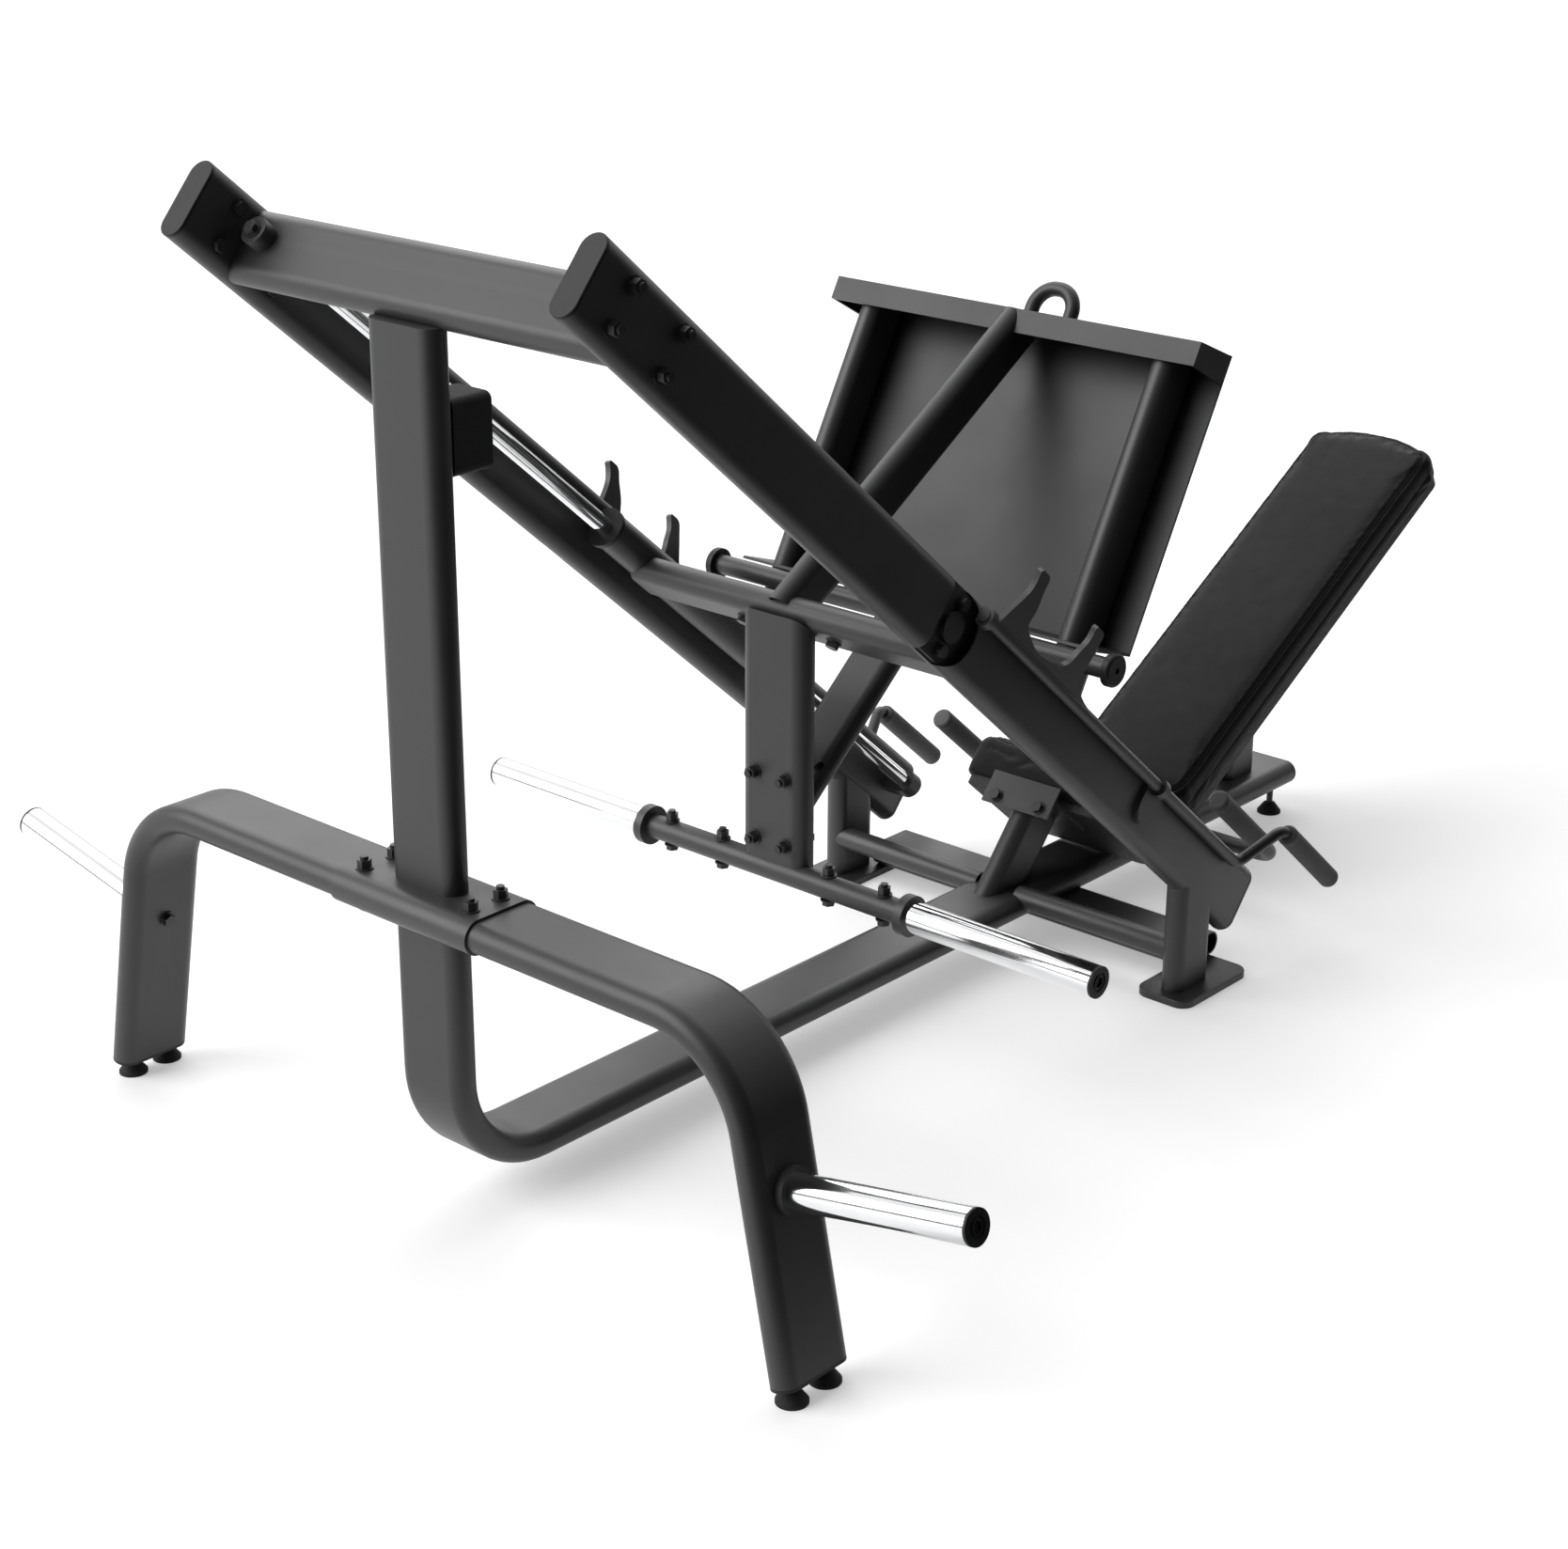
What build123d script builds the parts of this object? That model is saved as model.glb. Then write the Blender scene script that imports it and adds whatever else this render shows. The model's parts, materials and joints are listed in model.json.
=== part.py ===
from build123d import *
import os
from math import cos, hypot, radians, sin, tan

os.makedirs("parts", exist_ok=True)

# Angled leg press: a carriage with a footplate runs on two guide rods between two sloping rails.
# Millimetres. +Z is up, +Y runs from the arch end to the seat end, +X is the right-hand side.
# Places on the floor frame are measured from the arch's middle, which stands arch_y from the
# middle of the whole length. Places on the slope frame are (x, s, h): s runs down the rails,
# h stands off them, and both start at the arch's middle on the floor.
arch_y = -1230.14
rail_slope = 40.5
overrun = 60.0
running_gap = 0.05

# Tube walls and common sections.
wall = 3.0
beam_width = 130.0
beam_thick = 45.0
cap_plate = 5.0
cap_plug = 25.0
cap_edge = 2.0

# Bolts: one size for the whole machine.
bolt_r = 6.0
bolt_hole_r = 6.5
bolt_head_r = 10.5
bolt_head_h = 8.0
washer_r = 13.0
washer_h = 2.0
nut_h = 12.0
bolt_tail = 5.0
blind_grip = 24.0

# Spine: an upright tube that bends into the beam along the floor.
spine_bend_r = 155.0
spine_low_z = 70.0
spine_end_y = 2190.0
spine_top_z = 1318.0

# Arch across the upper end: two bent legs in a middle sleeve.
arch_z = 496.5
arch_bend_r = 162.0
arch_foot_x = 702.4
arch_foot_z = 32.0
arch_lean = 11.6
sleeve_wall = 4.0
sleeve_half = 140.0
arch_leg_gap = 7.0
arch_bolt_x = 110.0
arch_bolt_y = 28.0

# Levelling feet.
foot_r = 23.0
foot_rim_h = 4.0
foot_cone_h = 16.0
foot_top_r = 11.0
foot_stud_r = 6.0
foot_step_y = 33.0
seat_foot_x = 42.0
seat_foot_y = 2135.0

# Weight posts, square to the legs and on the carriage.
peg_root = 257.0
peg_reach = 328.0
peg_r = 25.0
peg_bore_r = 21.0
peg_collar_r = 33.0
peg_collar_reach = 34.0
peg_cap_plate = 4.0
peg_socket_r = 9.0
peg_socket_depth = 3.0
peg_ring_r = 15.0
peg_ring_depth = 1.5

# Rails.
rail_x = 375.0
rail_width = 120.0
rail_thick = 44.0
rail_h = 1058.0
rail_top_s = -978.0
rail_end_s = 1056.0
rail_end_plate = 16.0
rail_end_round = 12.0
pocket_top_s = -73.0
pocket_straight = 20.0
pocket_bulge = 79.0
pocket_floor = 8.0
joint_block_margin = 70.0
joint_boss_r = 24.0
joint_boss_h = 7.0
joint_bolt_h = 38.0
rail_bolt_s_upper = -911.0
rail_bolt_s_lower = -799.0
rail_bolt_h = 30.0

# Beam between the rail tops, and the stop behind the spine.
top_beam_width = 112.0
top_beam_thick = 44.0
top_beam_s = -856.0
stop_half_x = 38.0
stop_plate_half_x = 30.0
stop_plate = 16.0
stop_depth = 72.0
stop_low_z = 1105.0
stop_high_z = 1212.0
stop_round = 12.0

# Guide rods and what holds their ends.
guide_x = 314.0
guide_h = 1065.0
guide_r = 15.0
guide_end_s = 1002.0
rod_boss_r = 21.0
rod_boss_h = 24.0
rod_foot_width = 30.0
rod_foot_half_h = 23.0

# Legs under the rails, floor plates and cross members.
rail_leg_width = 100.0
rail_leg_thick = 42.0
rail_leg_y = 1350.0
plate_half_x = 53.0
plate_y = 1376.0
plate_length = 196.0
plate_thick = 13.0
plate_round = 25.0
cross_tube_r = 20.0
cross_tube_y = 1322.0
cross_tube_z = 84.0
cross_flat_width = 112.0
cross_flat_thick = 42.0
cross_flat_y = 1440.0
cross_flat_z = 34.0
cross_flat_half_x = 345.0

# Lock levers on the outer sides of the rails, with two hooks each.
lever_x = 408.5
lever_h = 1097.0
lever_r = 10.0
lever_top_s = 2.0
lever_crank_s = 955.0
lever_grip_s = 985.0
lever_end_s = 1200.0
lever_rise = 95.6
lever_bend_r = 22.0
lever_tilt = 23.1
lever_grip_r = 18.0
lever_grip_length = 205.0
lever_grip_overhang = 8.0
lever_grip_round = 5.0
hook_tilt = 18.3
hook_thick = 10.0
hook_start_s = 35.0
hook_length = 320.0
hook_height = 108.0
lug_s = 635.0
lug_width = 58.0
lug_drop = 38.0
lug_thick = 8.0
lug_ring_r = 16.0
lug_ring_width = 16.0
lug_top_s = 12.0

# Carriage: bearing housings on the guide rods.
housing_r = 30.0
housing_bore_r = 24.0
housing_top_s = -26.0
housing_end_s = 494.0
bearing_length = 60.0
bearing_rim_r = 34.0
bearing_rim = 8.0
crossbar_width = 92.0
crossbar_thick = 46.0
crossbar_s = 106.0
crossbar_h = 1051.0
carriage_post_y = 732.0
weight_bar_y = 722.0
weight_bar_z = 316.0
weight_bar_r = 20.0
weight_collar_x = 268.0
weight_collar_width = 16.0
weight_tip_x = 635.0
weight_bolt_inner_x = 113.0
weight_bolt_outer_x = 226.0
post_bolt_x = 32.0
post_bolt_low_z = 366.0
post_bolt_high_z = 478.0
brace_width = 92.0
brace_thick = 40.0
brace_foot_s = 298.0
brace_foot_h = 812.0
brace_plate = 6.0
brace_plate_half_x = 46.0
brace_plate_low_z = 345.0
brace_plate_high_z = 499.0
crossbar_bolt_x = 92.0
crossbar_bolt_s = 112.0

# Footplate: a folded tray on two flat uprights.
footplate_half_x = 371.0
footplate_low_s = 449.3
footplate_low_h = 1238.5
footplate_high_s = 349.1
footplate_high_h = 1731.5
footplate_thick = 5.0
footplate_depth = 98.0
footplate_lip = 40.0
footplate_lip_drop = 10.0
footplate_toe = 95.0
footplate_toe_drop = 18.0
upright_inset = 71.0
upright_width = 84.0
upright_thick = 40.0
upright_sink = 1.5
ridge_width = 84.0
ridge_thick = 40.0
ridge_foot_s = 104.2
ridge_foot_h = 1100.0
ridge_head_s = 285.7
ridge_head_h = 1668.0
loop_half_x = 40.0
loop_rise = 73.5
loop_r = 12.5
loop_bend_r = 38.0
loop_sink = 1.5
loop_leg = 40.0
stop_bar_s = 358.0
stop_bar_h = 1181.0
stop_bar_r = 17.0
stop_disc_r = 27.0
stop_disc_width = 14.0
stop_disc_tip_x = 422.0
stop_disc_round = 5.0
stop_disc_dimple_r = 5.0
stop_disc_dimple_depth = 3.0

# Seat, backrest and their frame.
seat_post_s = 947.0
seat_post_width = 100.0
seat_post_thick = 44.0
seat_half_x = 166.0
seat_front_s = 905.0
seat_length = 236.0
seat_under_h = 1088.0
seat_pad_thick = 88.0
seat_board_thick = 14.0
seat_board_inset = 12.0
bracket_half_x = 72.0
bracket_length = 122.0
bracket_drop = 36.0
bracket_front_rise = 24.0
bracket_thick = 6.0
bracket_bolt_x = 46.0
pad_corner = 34.0
pad_seam_inset = 13.0
pad_crown = 7.0
pad_groove = 3.0
back_slope = 30.2
back_low_y = 1662.0
back_low_z = 195.5
back_half_x = 141.0
back_length = 992.0
back_pad_thick = 70.0
back_board_thick = 18.0
back_board_inset = 10.0
back_top_bow = 18.0
back_post_y = 2060.0
back_post_width = 100.0
back_post_thick = 44.0
back_bracket_half_x = 45.0
back_bracket_length = 360.0
back_bracket_thick = 6.0
seat_grip_x = 306.0
seat_grip_s = 985.0
seat_grip_length = 205.0
seat_grip_end = 8.0
seat_grip_h = 1204.0
seat_grip_r = 19.0
seat_tube_r = 14.0
seat_tube_s = 1250.0
seat_tube_bend_r = 40.0

run = cos(radians(rail_slope))
drop = sin(radians(rail_slope))
right = Vector(1, 0, 0)
back_way = Vector(0, 1, 0)
up = Vector(0, 0, 1)
sides = ((1, "right"), (-1, "left"))


def level(x, y, z):
    return Vector(x, arch_y + y, z)


slope = Plane(origin=level(0, 0, 0), x_dir=(1, 0, 0), z_dir=(0, drop, run))
down_slope = slope.y_dir
off_slope = slope.z_dir
down_axis = Axis(origin=(0, 0, 0), direction=(0, run, -drop))


def on_slope(x, s, n):
    return slope.from_local_coords(Vector(x, s, n))


def tube(at, wide_way, along, width, thick, length, shell=0, mode=Mode.ADD):
    # A flat-oval tube, or a solid bar of that shape, from a point along a direction.
    with BuildSketch(Plane(origin=at, x_dir=wide_way, z_dir=along)) as cut:
        SlotOverall(width, thick)
        if shell:
            SlotOverall(width - 2 * shell, thick - 2 * shell, mode=Mode.SUBTRACT)
    extrude(cut.sketch, amount=length, mode=mode)


def rod(at, along, radius, length, bore=0, mode=Mode.ADD):
    with BuildSketch(Plane(origin=at, z_dir=along)) as cut:
        Circle(radius)
        if bore:
            Circle(bore, mode=Mode.SUBTRACT)
    extrude(cut.sketch, amount=length, mode=mode)


def block(at, x_way, along, x_size, y_size, length, rounding=0, mode=Mode.ADD):
    with BuildSketch(Plane(origin=at, x_dir=x_way, z_dir=along)) as cut:
        if rounding:
            RectangleRounded(x_size, y_size, rounding)
        else:
            Rectangle(x_size, y_size)
    extrude(cut.sketch, amount=length, mode=mode)


def bolt(at, outward, grip):
    # Head and washer stand on the face at the point, the shank goes in by the grip.
    rod(at, outward, washer_r, washer_h)
    with BuildSketch(Plane(origin=at + outward * washer_h, z_dir=outward)) as hexagon:
        RegularPolygon(bolt_head_r, 6)
    extrude(hexagon.sketch, amount=bolt_head_h)
    rod(at, outward * -1, bolt_r, grip)


def nut(at, outward):
    # Washer and nut stand on the face at the point, round the shank's tail.
    rod(at, outward, washer_r, washer_h, bore=bolt_r)
    with BuildSketch(Plane(origin=at + outward * washer_h, z_dir=outward)) as hexagon:
        RegularPolygon(bolt_head_r, 6)
        Circle(bolt_r, mode=Mode.SUBTRACT)
    extrude(hexagon.sketch, amount=nut_h)


def hole(at, along, length):
    rod(at, along, bolt_hole_r, length, mode=Mode.SUBTRACT)


def finish(piece, label):
    piece.part.label = label
    export_step(piece.part, f"parts/{label}.step")


# Envelopes that neighbours are cut to.
def rail_envelope(side, mode):
    tube(on_slope(side * rail_x, rail_top_s, rail_h), off_slope, down_slope,
         rail_width, rail_thick, rail_end_s - rail_top_s, mode=mode)


def top_beam_envelope(mode):
    tube(on_slope(-rail_x, top_beam_s, rail_h), off_slope, right,
         top_beam_width, top_beam_thick, 2 * rail_x, mode=mode)


def spine_beam_envelope(mode):
    tube(level(0, spine_bend_r, spine_low_z), right, back_way,
         beam_width, beam_thick, spine_end_y - spine_bend_r, mode=mode)


def housing_envelope(side, mode):
    rod(on_slope(side * guide_x, housing_top_s, guide_h), down_slope,
        housing_r, housing_end_s - housing_top_s, mode=mode)


def crossbar_envelope(mode):
    tube(on_slope(-guide_x, crossbar_s, crossbar_h), down_slope, right,
         crossbar_width, crossbar_thick, 2 * guide_x, mode=mode)


# Spine.
with BuildPart() as spine:
    with BuildLine() as spine_path:
        FilletPolyline(level(0, 0, spine_top_z), level(0, 0, spine_low_z),
                       level(0, spine_end_y - cap_plate, spine_low_z), radius=spine_bend_r)
    with BuildSketch(Plane(origin=level(0, 0, spine_top_z), x_dir=(1, 0, 0), z_dir=(0, 0, -1))) as spine_cut:
        SlotOverall(beam_width, beam_thick)
        SlotOverall(beam_width - 2 * wall, beam_thick - 2 * wall, mode=Mode.SUBTRACT)
    sweep(path=spine_path.wire())
    tube(level(0, 0, spine_top_z), right, up * -1, beam_width - 2 * wall, beam_thick - 2 * wall, cap_plate)
    top_beam_envelope(Mode.SUBTRACT)
finish(spine, "spine")

# Arch: legs, sleeve and caps.
lean = radians(arch_lean)
arch_leg_inner = beam_width / 2 + arch_leg_gap
arch_corner_x = arch_foot_x - (arch_z - arch_foot_z) * tan(lean)


def leg_down(side):
    return Vector(side * sin(lean), 0, -cos(lean))


def peg_way(side):
    return Vector(side * cos(lean), 0, sin(lean))


def peg_start(side):
    # The point on a leg's middle line that a weight post stands square to.
    return level(side * arch_foot_x, 0, arch_foot_z) - leg_down(side) * peg_root


def arch_leg_body(side, shell, mode):
    with BuildLine() as leg_path:
        FilletPolyline(level(side * arch_leg_inner, 0, arch_z), level(side * arch_corner_x, 0, arch_z),
                       level(side * arch_foot_x, 0, arch_foot_z), radius=arch_bend_r)
    with BuildSketch(Plane(origin=level(side * arch_leg_inner, 0, arch_z),
                           x_dir=(0, 1, 0), z_dir=(side, 0, 0))) as leg_cut:
        SlotOverall(beam_width, beam_thick)
        if shell:
            SlotOverall(beam_width - 2 * shell, beam_thick - 2 * shell, mode=Mode.SUBTRACT)
    sweep(sections=leg_cut.sketch, path=leg_path.wire(), mode=mode)


for side, name in sides:
    with BuildPart() as arch_leg:
        arch_leg_body(side, wall, Mode.ADD)
        for across in (-1, 1):
            hole(level(side * arch_bolt_x, across * arch_bolt_y, arch_z + beam_thick), up * -1, 2 * beam_thick)
        hole(peg_start(side), peg_way(side) * -1, beam_thick)
    finish(arch_leg, f"arch_leg_{name}")

with BuildPart() as arch_sleeve:
    tube(level(-sleeve_half, 0, arch_z), back_way, right, beam_width + 2 * sleeve_wall,
         beam_thick + 2 * sleeve_wall, 2 * sleeve_half, shell=sleeve_wall)
    tube(level(0, 0, 0), right, up, beam_width, beam_thick, 2 * arch_z, mode=Mode.SUBTRACT)
    for side in (-1, 1):
        for across in (-1, 1):
            hole(level(side * arch_bolt_x, across * arch_bolt_y, arch_z + beam_thick), up * -1, 2 * beam_thick)
finish(arch_sleeve, "arch_sleeve")

with BuildPart() as beam_caps:
    tube(level(0, spine_end_y - cap_plate, spine_low_z), right, back_way, beam_width, beam_thick, cap_plate)
    fillet(beam_caps.faces().sort_by(Axis.Y)[-1].edges(), radius=cap_edge)
    tube(level(0, spine_end_y - cap_plate, spine_low_z), right, back_way * -1,
         beam_width - 2 * wall, beam_thick - 2 * wall, cap_plug)
    for side in (-1, 1):
        way = leg_down(side)
        foot = level(side * arch_foot_x, 0, arch_foot_z)
        tube(foot, back_way, way, beam_width, beam_thick, cap_plate)
        tube(foot, back_way, way * -1, beam_width - 2 * wall, beam_thick - 2 * wall, cap_plug)
finish(beam_caps, "beam_caps")

# Feet: rubber cones on studs.
foot_places = [(side * (arch_foot_x + cap_plate * sin(lean)), across * foot_step_y,
                arch_foot_z - cap_plate * cos(lean)) for side in (-1, 1) for across in (-1, 1)]
foot_places += [(side * seat_foot_x, seat_foot_y, spine_low_z - beam_thick / 2) for side in (-1, 1)]
with BuildPart() as foot_pads:
    for x, y, z in foot_places:
        rod(level(x, y, 0), up, foot_r, foot_rim_h)
        with BuildSketch(Plane(origin=level(x, y, foot_rim_h), z_dir=(0, 0, 1))) as cone_low:
            Circle(foot_r)
        with BuildSketch(Plane(origin=level(x, y, foot_rim_h + foot_cone_h), z_dir=(0, 0, 1))) as cone_high:
            Circle(foot_top_r)
        loft(sections=[cone_low.sketch, cone_high.sketch])
        rod(level(x, y, foot_rim_h), up, foot_stud_r, foot_rim_h + foot_cone_h, mode=Mode.SUBTRACT)
finish(foot_pads, "foot_pads")

with BuildPart() as foot_studs:
    for x, y, z in foot_places:
        rod(level(x, y, foot_rim_h), up, foot_stud_r, z + foot_stud_r - foot_rim_h)
    for side in (-1, 1):
        way = leg_down(side)
        tube(level(side * arch_foot_x, 0, arch_foot_z) + way * cap_plate, back_way, way * -1,
             2 * beam_width, 2 * beam_thick, cap_plug, mode=Mode.SUBTRACT)
    spine_beam_envelope(Mode.SUBTRACT)
finish(foot_studs, "foot_studs")

# Weight posts on the arch legs.
with BuildPart() as storage_collars:
    for side in (-1, 1):
        rod(peg_start(side), peg_way(side), peg_collar_r, peg_collar_reach)
        arch_leg_body(side, 0, Mode.SUBTRACT)
finish(storage_collars, "storage_collars")


def weight_sleeve(start, way, length):
    rod(start, way, peg_r, length, bore=peg_bore_r)


def weight_cap(tip, way):
    rod(tip, way, peg_r, peg_cap_plate)
    rod(tip, way * -1, peg_bore_r, cap_plug)
    rod(tip + way * (peg_cap_plate - peg_ring_depth), way, peg_ring_r, peg_cap_plate, bore=peg_socket_r + peg_ring_depth,
        mode=Mode.SUBTRACT)
    with BuildSketch(Plane(origin=tip + way * (peg_cap_plate - peg_socket_depth), z_dir=way)) as socket:
        RegularPolygon(peg_socket_r, 6)
    extrude(socket.sketch, amount=peg_cap_plate, mode=Mode.SUBTRACT)


with BuildPart() as storage_sleeves:
    for side in (-1, 1):
        weight_sleeve(peg_start(side) + peg_way(side) * peg_collar_reach, peg_way(side),
                      peg_reach - peg_cap_plate - peg_collar_reach)
finish(storage_sleeves, "storage_sleeves")

with BuildPart() as storage_caps:
    for side in (-1, 1):
        weight_cap(peg_start(side) + peg_way(side) * (peg_reach - peg_cap_plate), peg_way(side))
finish(storage_caps, "storage_caps")

# Top beam and the stop behind the spine.
with BuildPart() as top_beam:
    tube(on_slope(-rail_x, top_beam_s, rail_h), off_slope, right,
         top_beam_width, top_beam_thick, 2 * rail_x, shell=wall)
    for side in (-1, 1):
        rail_envelope(side, Mode.SUBTRACT)
        hole(on_slope(side * guide_x, top_beam_s - overrun, guide_h), down_slope, 2 * overrun)
finish(top_beam, "top_beam")

stop_middle_z = (stop_low_z + stop_high_z) / 2
with BuildPart() as rear_stop_plate:
    block(level(0, beam_thick / 2, stop_middle_z), right, back_way,
          2 * stop_plate_half_x, stop_high_z - stop_low_z, stop_plate)
finish(rear_stop_plate, "rear_stop_plate")

with BuildPart() as rear_stop:
    block(level(0, beam_thick / 2 + stop_plate, stop_middle_z), right, back_way,
          2 * stop_half_x, stop_high_z - stop_low_z, stop_depth, rounding=stop_round)
    fillet(rear_stop.faces().sort_by(Axis.Y)[-1].edges(), radius=stop_round / 3)
finish(rear_stop, "rear_stop")

# Rails, with the joint window in the outer wall.
for side, name in sides:
    with BuildPart() as rail:
        tube(on_slope(side * rail_x, rail_top_s + cap_plate, rail_h), off_slope, down_slope, rail_width, rail_thick,
             rail_end_s - rail_end_plate - rail_top_s - cap_plate, shell=wall)
        with BuildSketch(Plane(origin=on_slope(side * (rail_x + wall), pocket_top_s, rail_h), x_dir=down_slope,
                               z_dir=(side, 0, 0))) as window:
            with BuildLine() as window_edge:
                Polyline((pocket_straight, -rail_width / 2), (pocket_straight, -rail_width), (0, -rail_width),
                         (0, rail_width), (pocket_straight, rail_width), (pocket_straight, rail_width / 2))
                ThreePointArc((pocket_straight, rail_width / 2), (pocket_straight + pocket_bulge, 0),
                              (pocket_straight, -rail_width / 2))
            make_face()
        extrude(window.sketch, amount=rail_thick, mode=Mode.SUBTRACT)
        for bolt_s in (rail_bolt_s_upper, rail_bolt_s_lower):
            for across in (-1, 1):
                hole(on_slope(side * rail_x - rail_thick, bolt_s, rail_h + across * rail_bolt_h), right, 2 * rail_thick)
    finish(rail, f"rail_{name}")

with BuildPart() as rail_end_caps:
    for side in (-1, 1):
        top = on_slope(side * rail_x, rail_top_s + cap_plate, rail_h)
        low = on_slope(side * rail_x, rail_end_s - rail_end_plate, rail_h)
        tube(top, off_slope, down_slope * -1, rail_width, rail_thick, cap_plate)
        tube(low, off_slope, down_slope, rail_width, rail_thick, rail_end_plate)
    ends = rail_end_caps.faces().filter_by(Plane(origin=(0, 0, 0), z_dir=down_slope)).sort_by(down_axis)
    fillet(ends[:2].edges(), radius=cap_edge)
    fillet(ends[-2:].edges(), radius=rail_end_round)
    for side in (-1, 1):
        top = on_slope(side * rail_x, rail_top_s + cap_plate, rail_h)
        low = on_slope(side * rail_x, rail_end_s - rail_end_plate, rail_h)
        tube(top, off_slope, down_slope, rail_width - 2 * wall, rail_thick - 2 * wall, cap_plug)
        tube(low, off_slope, down_slope * -1, rail_width - 2 * wall, rail_thick - 2 * wall, cap_plug)
finish(rail_end_caps, "rail_end_caps")

joint_middle_s = pocket_top_s + (pocket_straight + pocket_bulge) / 2
with BuildPart() as rail_joint_blocks:
    for side in (-1, 1):
        tube(on_slope(side * rail_x, pocket_top_s - joint_block_margin, rail_h), off_slope, down_slope,
             rail_width - 2 * wall, rail_thick - 2 * wall, pocket_straight + pocket_bulge + 2 * joint_block_margin)
        block(on_slope(side * (rail_x + pocket_floor), joint_middle_s, rail_h), down_slope, right * side,
              pocket_straight + pocket_bulge + 4 * joint_block_margin, 2 * rail_width, rail_thick, mode=Mode.SUBTRACT)
        rod(on_slope(side * (rail_x + pocket_floor), joint_middle_s, rail_h), right * side, joint_boss_r, joint_boss_h)
        for across in (-1, 1):
            hole(on_slope(side * (rail_x + pocket_floor), joint_middle_s, rail_h + across * joint_bolt_h),
                 right * -side, blind_grip)
finish(rail_joint_blocks, "rail_joint_blocks")

# Guide rods, their bosses above the top beam and feet on the rails.
guide_top_s = top_beam_s + top_beam_thick / 2
with BuildPart() as guide_rods:
    for side in (-1, 1):
        rod(on_slope(side * guide_x, guide_top_s, guide_h), down_slope, guide_r, guide_end_s - guide_top_s)
        rod(on_slope(side * guide_x, guide_top_s, guide_h), down_slope, bolt_r, blind_grip, mode=Mode.SUBTRACT)
finish(guide_rods, "guide_rods")

with BuildPart() as rod_end_bosses:
    for side in (-1, 1):
        rod(on_slope(side * guide_x, top_beam_s - top_beam_thick / 2, guide_h), down_slope * -1,
            rod_boss_r, rod_boss_h, bore=bolt_r)
finish(rod_end_bosses, "rod_end_bosses")

with BuildPart() as rod_feet:
    for side in (-1, 1):
        block(on_slope(side * (guide_x + rail_x) / 2, guide_end_s - rod_foot_width, guide_h), right, down_slope,
              rail_x - guide_x, 2 * rod_foot_half_h, rod_foot_width)
        rod(on_slope(side * guide_x, guide_end_s - rod_foot_width, guide_h), down_slope, rod_foot_half_h, rod_foot_width)
        rod(on_slope(side * guide_x, guide_end_s - overrun, guide_h), down_slope, guide_r, overrun, mode=Mode.SUBTRACT)
        rail_envelope(side, Mode.SUBTRACT)
finish(rod_feet, "rod_feet")

# Legs under the rails, on floor plates.
with BuildPart() as rail_legs:
    for side in (-1, 1):
        tube(level(side * rail_x, rail_leg_y, plate_thick), back_way, up, rail_leg_width, rail_leg_thick,
             rail_h, shell=wall)
        with BuildSketch(Plane(origin=on_slope(side * rail_x, rail_leg_y * run, rail_h), x_dir=(1, 0, 0),
                               z_dir=off_slope)) as over:
            Rectangle(2 * rail_leg_thick, 4 * rail_h)
        extrude(over.sketch, amount=2 * rail_h, mode=Mode.SUBTRACT)
        rail_envelope(side, Mode.SUBTRACT)
finish(rail_legs, "rail_legs")

with BuildPart() as floor_plates:
    for side in (-1, 1):
        block(level(side * rail_x, plate_y, 0), right, up, 2 * plate_half_x, plate_length, plate_thick,
              rounding=plate_round)
    fillet(floor_plates.faces().sort_by(Axis.Z)[-2:].edges(), radius=cap_edge)
finish(floor_plates, "floor_plates")

with BuildPart() as cross_tubes:
    for side in (-1, 1):
        start_x = (beam_width - beam_thick) / 2
        rod(level(side * start_x, cross_tube_y, cross_tube_z), right * side, cross_tube_r, rail_x - start_x,
            bore=cross_tube_r - wall)
        tube(level(side * rail_x, rail_leg_y, 0), back_way, up, rail_leg_width, rail_leg_thick, rail_h,
             mode=Mode.SUBTRACT)
    spine_beam_envelope(Mode.SUBTRACT)
finish(cross_tubes, "cross_tubes")

with BuildPart() as cross_flat:
    tube(level(-cross_flat_half_x, cross_flat_y, cross_flat_z), back_way, right, cross_flat_width,
         cross_flat_thick, 2 * cross_flat_half_x, shell=wall)
    spine_beam_envelope(Mode.SUBTRACT)
finish(cross_flat, "cross_flat")

# Lever bearings on the rails.
with BuildPart() as lever_lugs:
    for side in (-1, 1):
        for ring_s in (lug_s, lug_top_s):
            rod(on_slope(side * lever_x, ring_s - lug_ring_width / 2, lever_h), down_slope, lug_ring_r, lug_ring_width)
        with BuildSketch(Plane(origin=on_slope(side * (rail_x + rail_thick / 2), lug_s, lever_h), x_dir=down_slope,
                               z_dir=(side, 0, 0))) as lug:
            with BuildLine() as lug_edge:
                Polyline((-lug_width / 2, -side * lug_drop), (-lug_width / 2, 0), (lug_width / 2, 0),
                         (lug_width / 2, -side * lug_drop))
                ThreePointArc((lug_width / 2, -side * lug_drop), (0, -side * (lug_drop + lug_width / 2)),
                              (-lug_width / 2, -side * lug_drop))
            make_face()
        extrude(lug.sketch, amount=lug_thick)
        for ring_s in (lug_s, lug_top_s):
            rod(on_slope(side * lever_x, ring_s - overrun, lever_h), down_slope, lever_r + running_gap,
                2 * overrun, mode=Mode.SUBTRACT)
        rail_envelope(side, Mode.SUBTRACT)
finish(lever_lugs, "lever_lugs")

# Carriage: housings, bushes, cross tube and post.
with BuildPart() as bearing_housings:
    for side in (-1, 1):
        rod(on_slope(side * guide_x, housing_top_s, guide_h), down_slope, housing_r,
            housing_end_s - housing_top_s, bore=housing_bore_r)
finish(bearing_housings, "bearing_housings")

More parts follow.
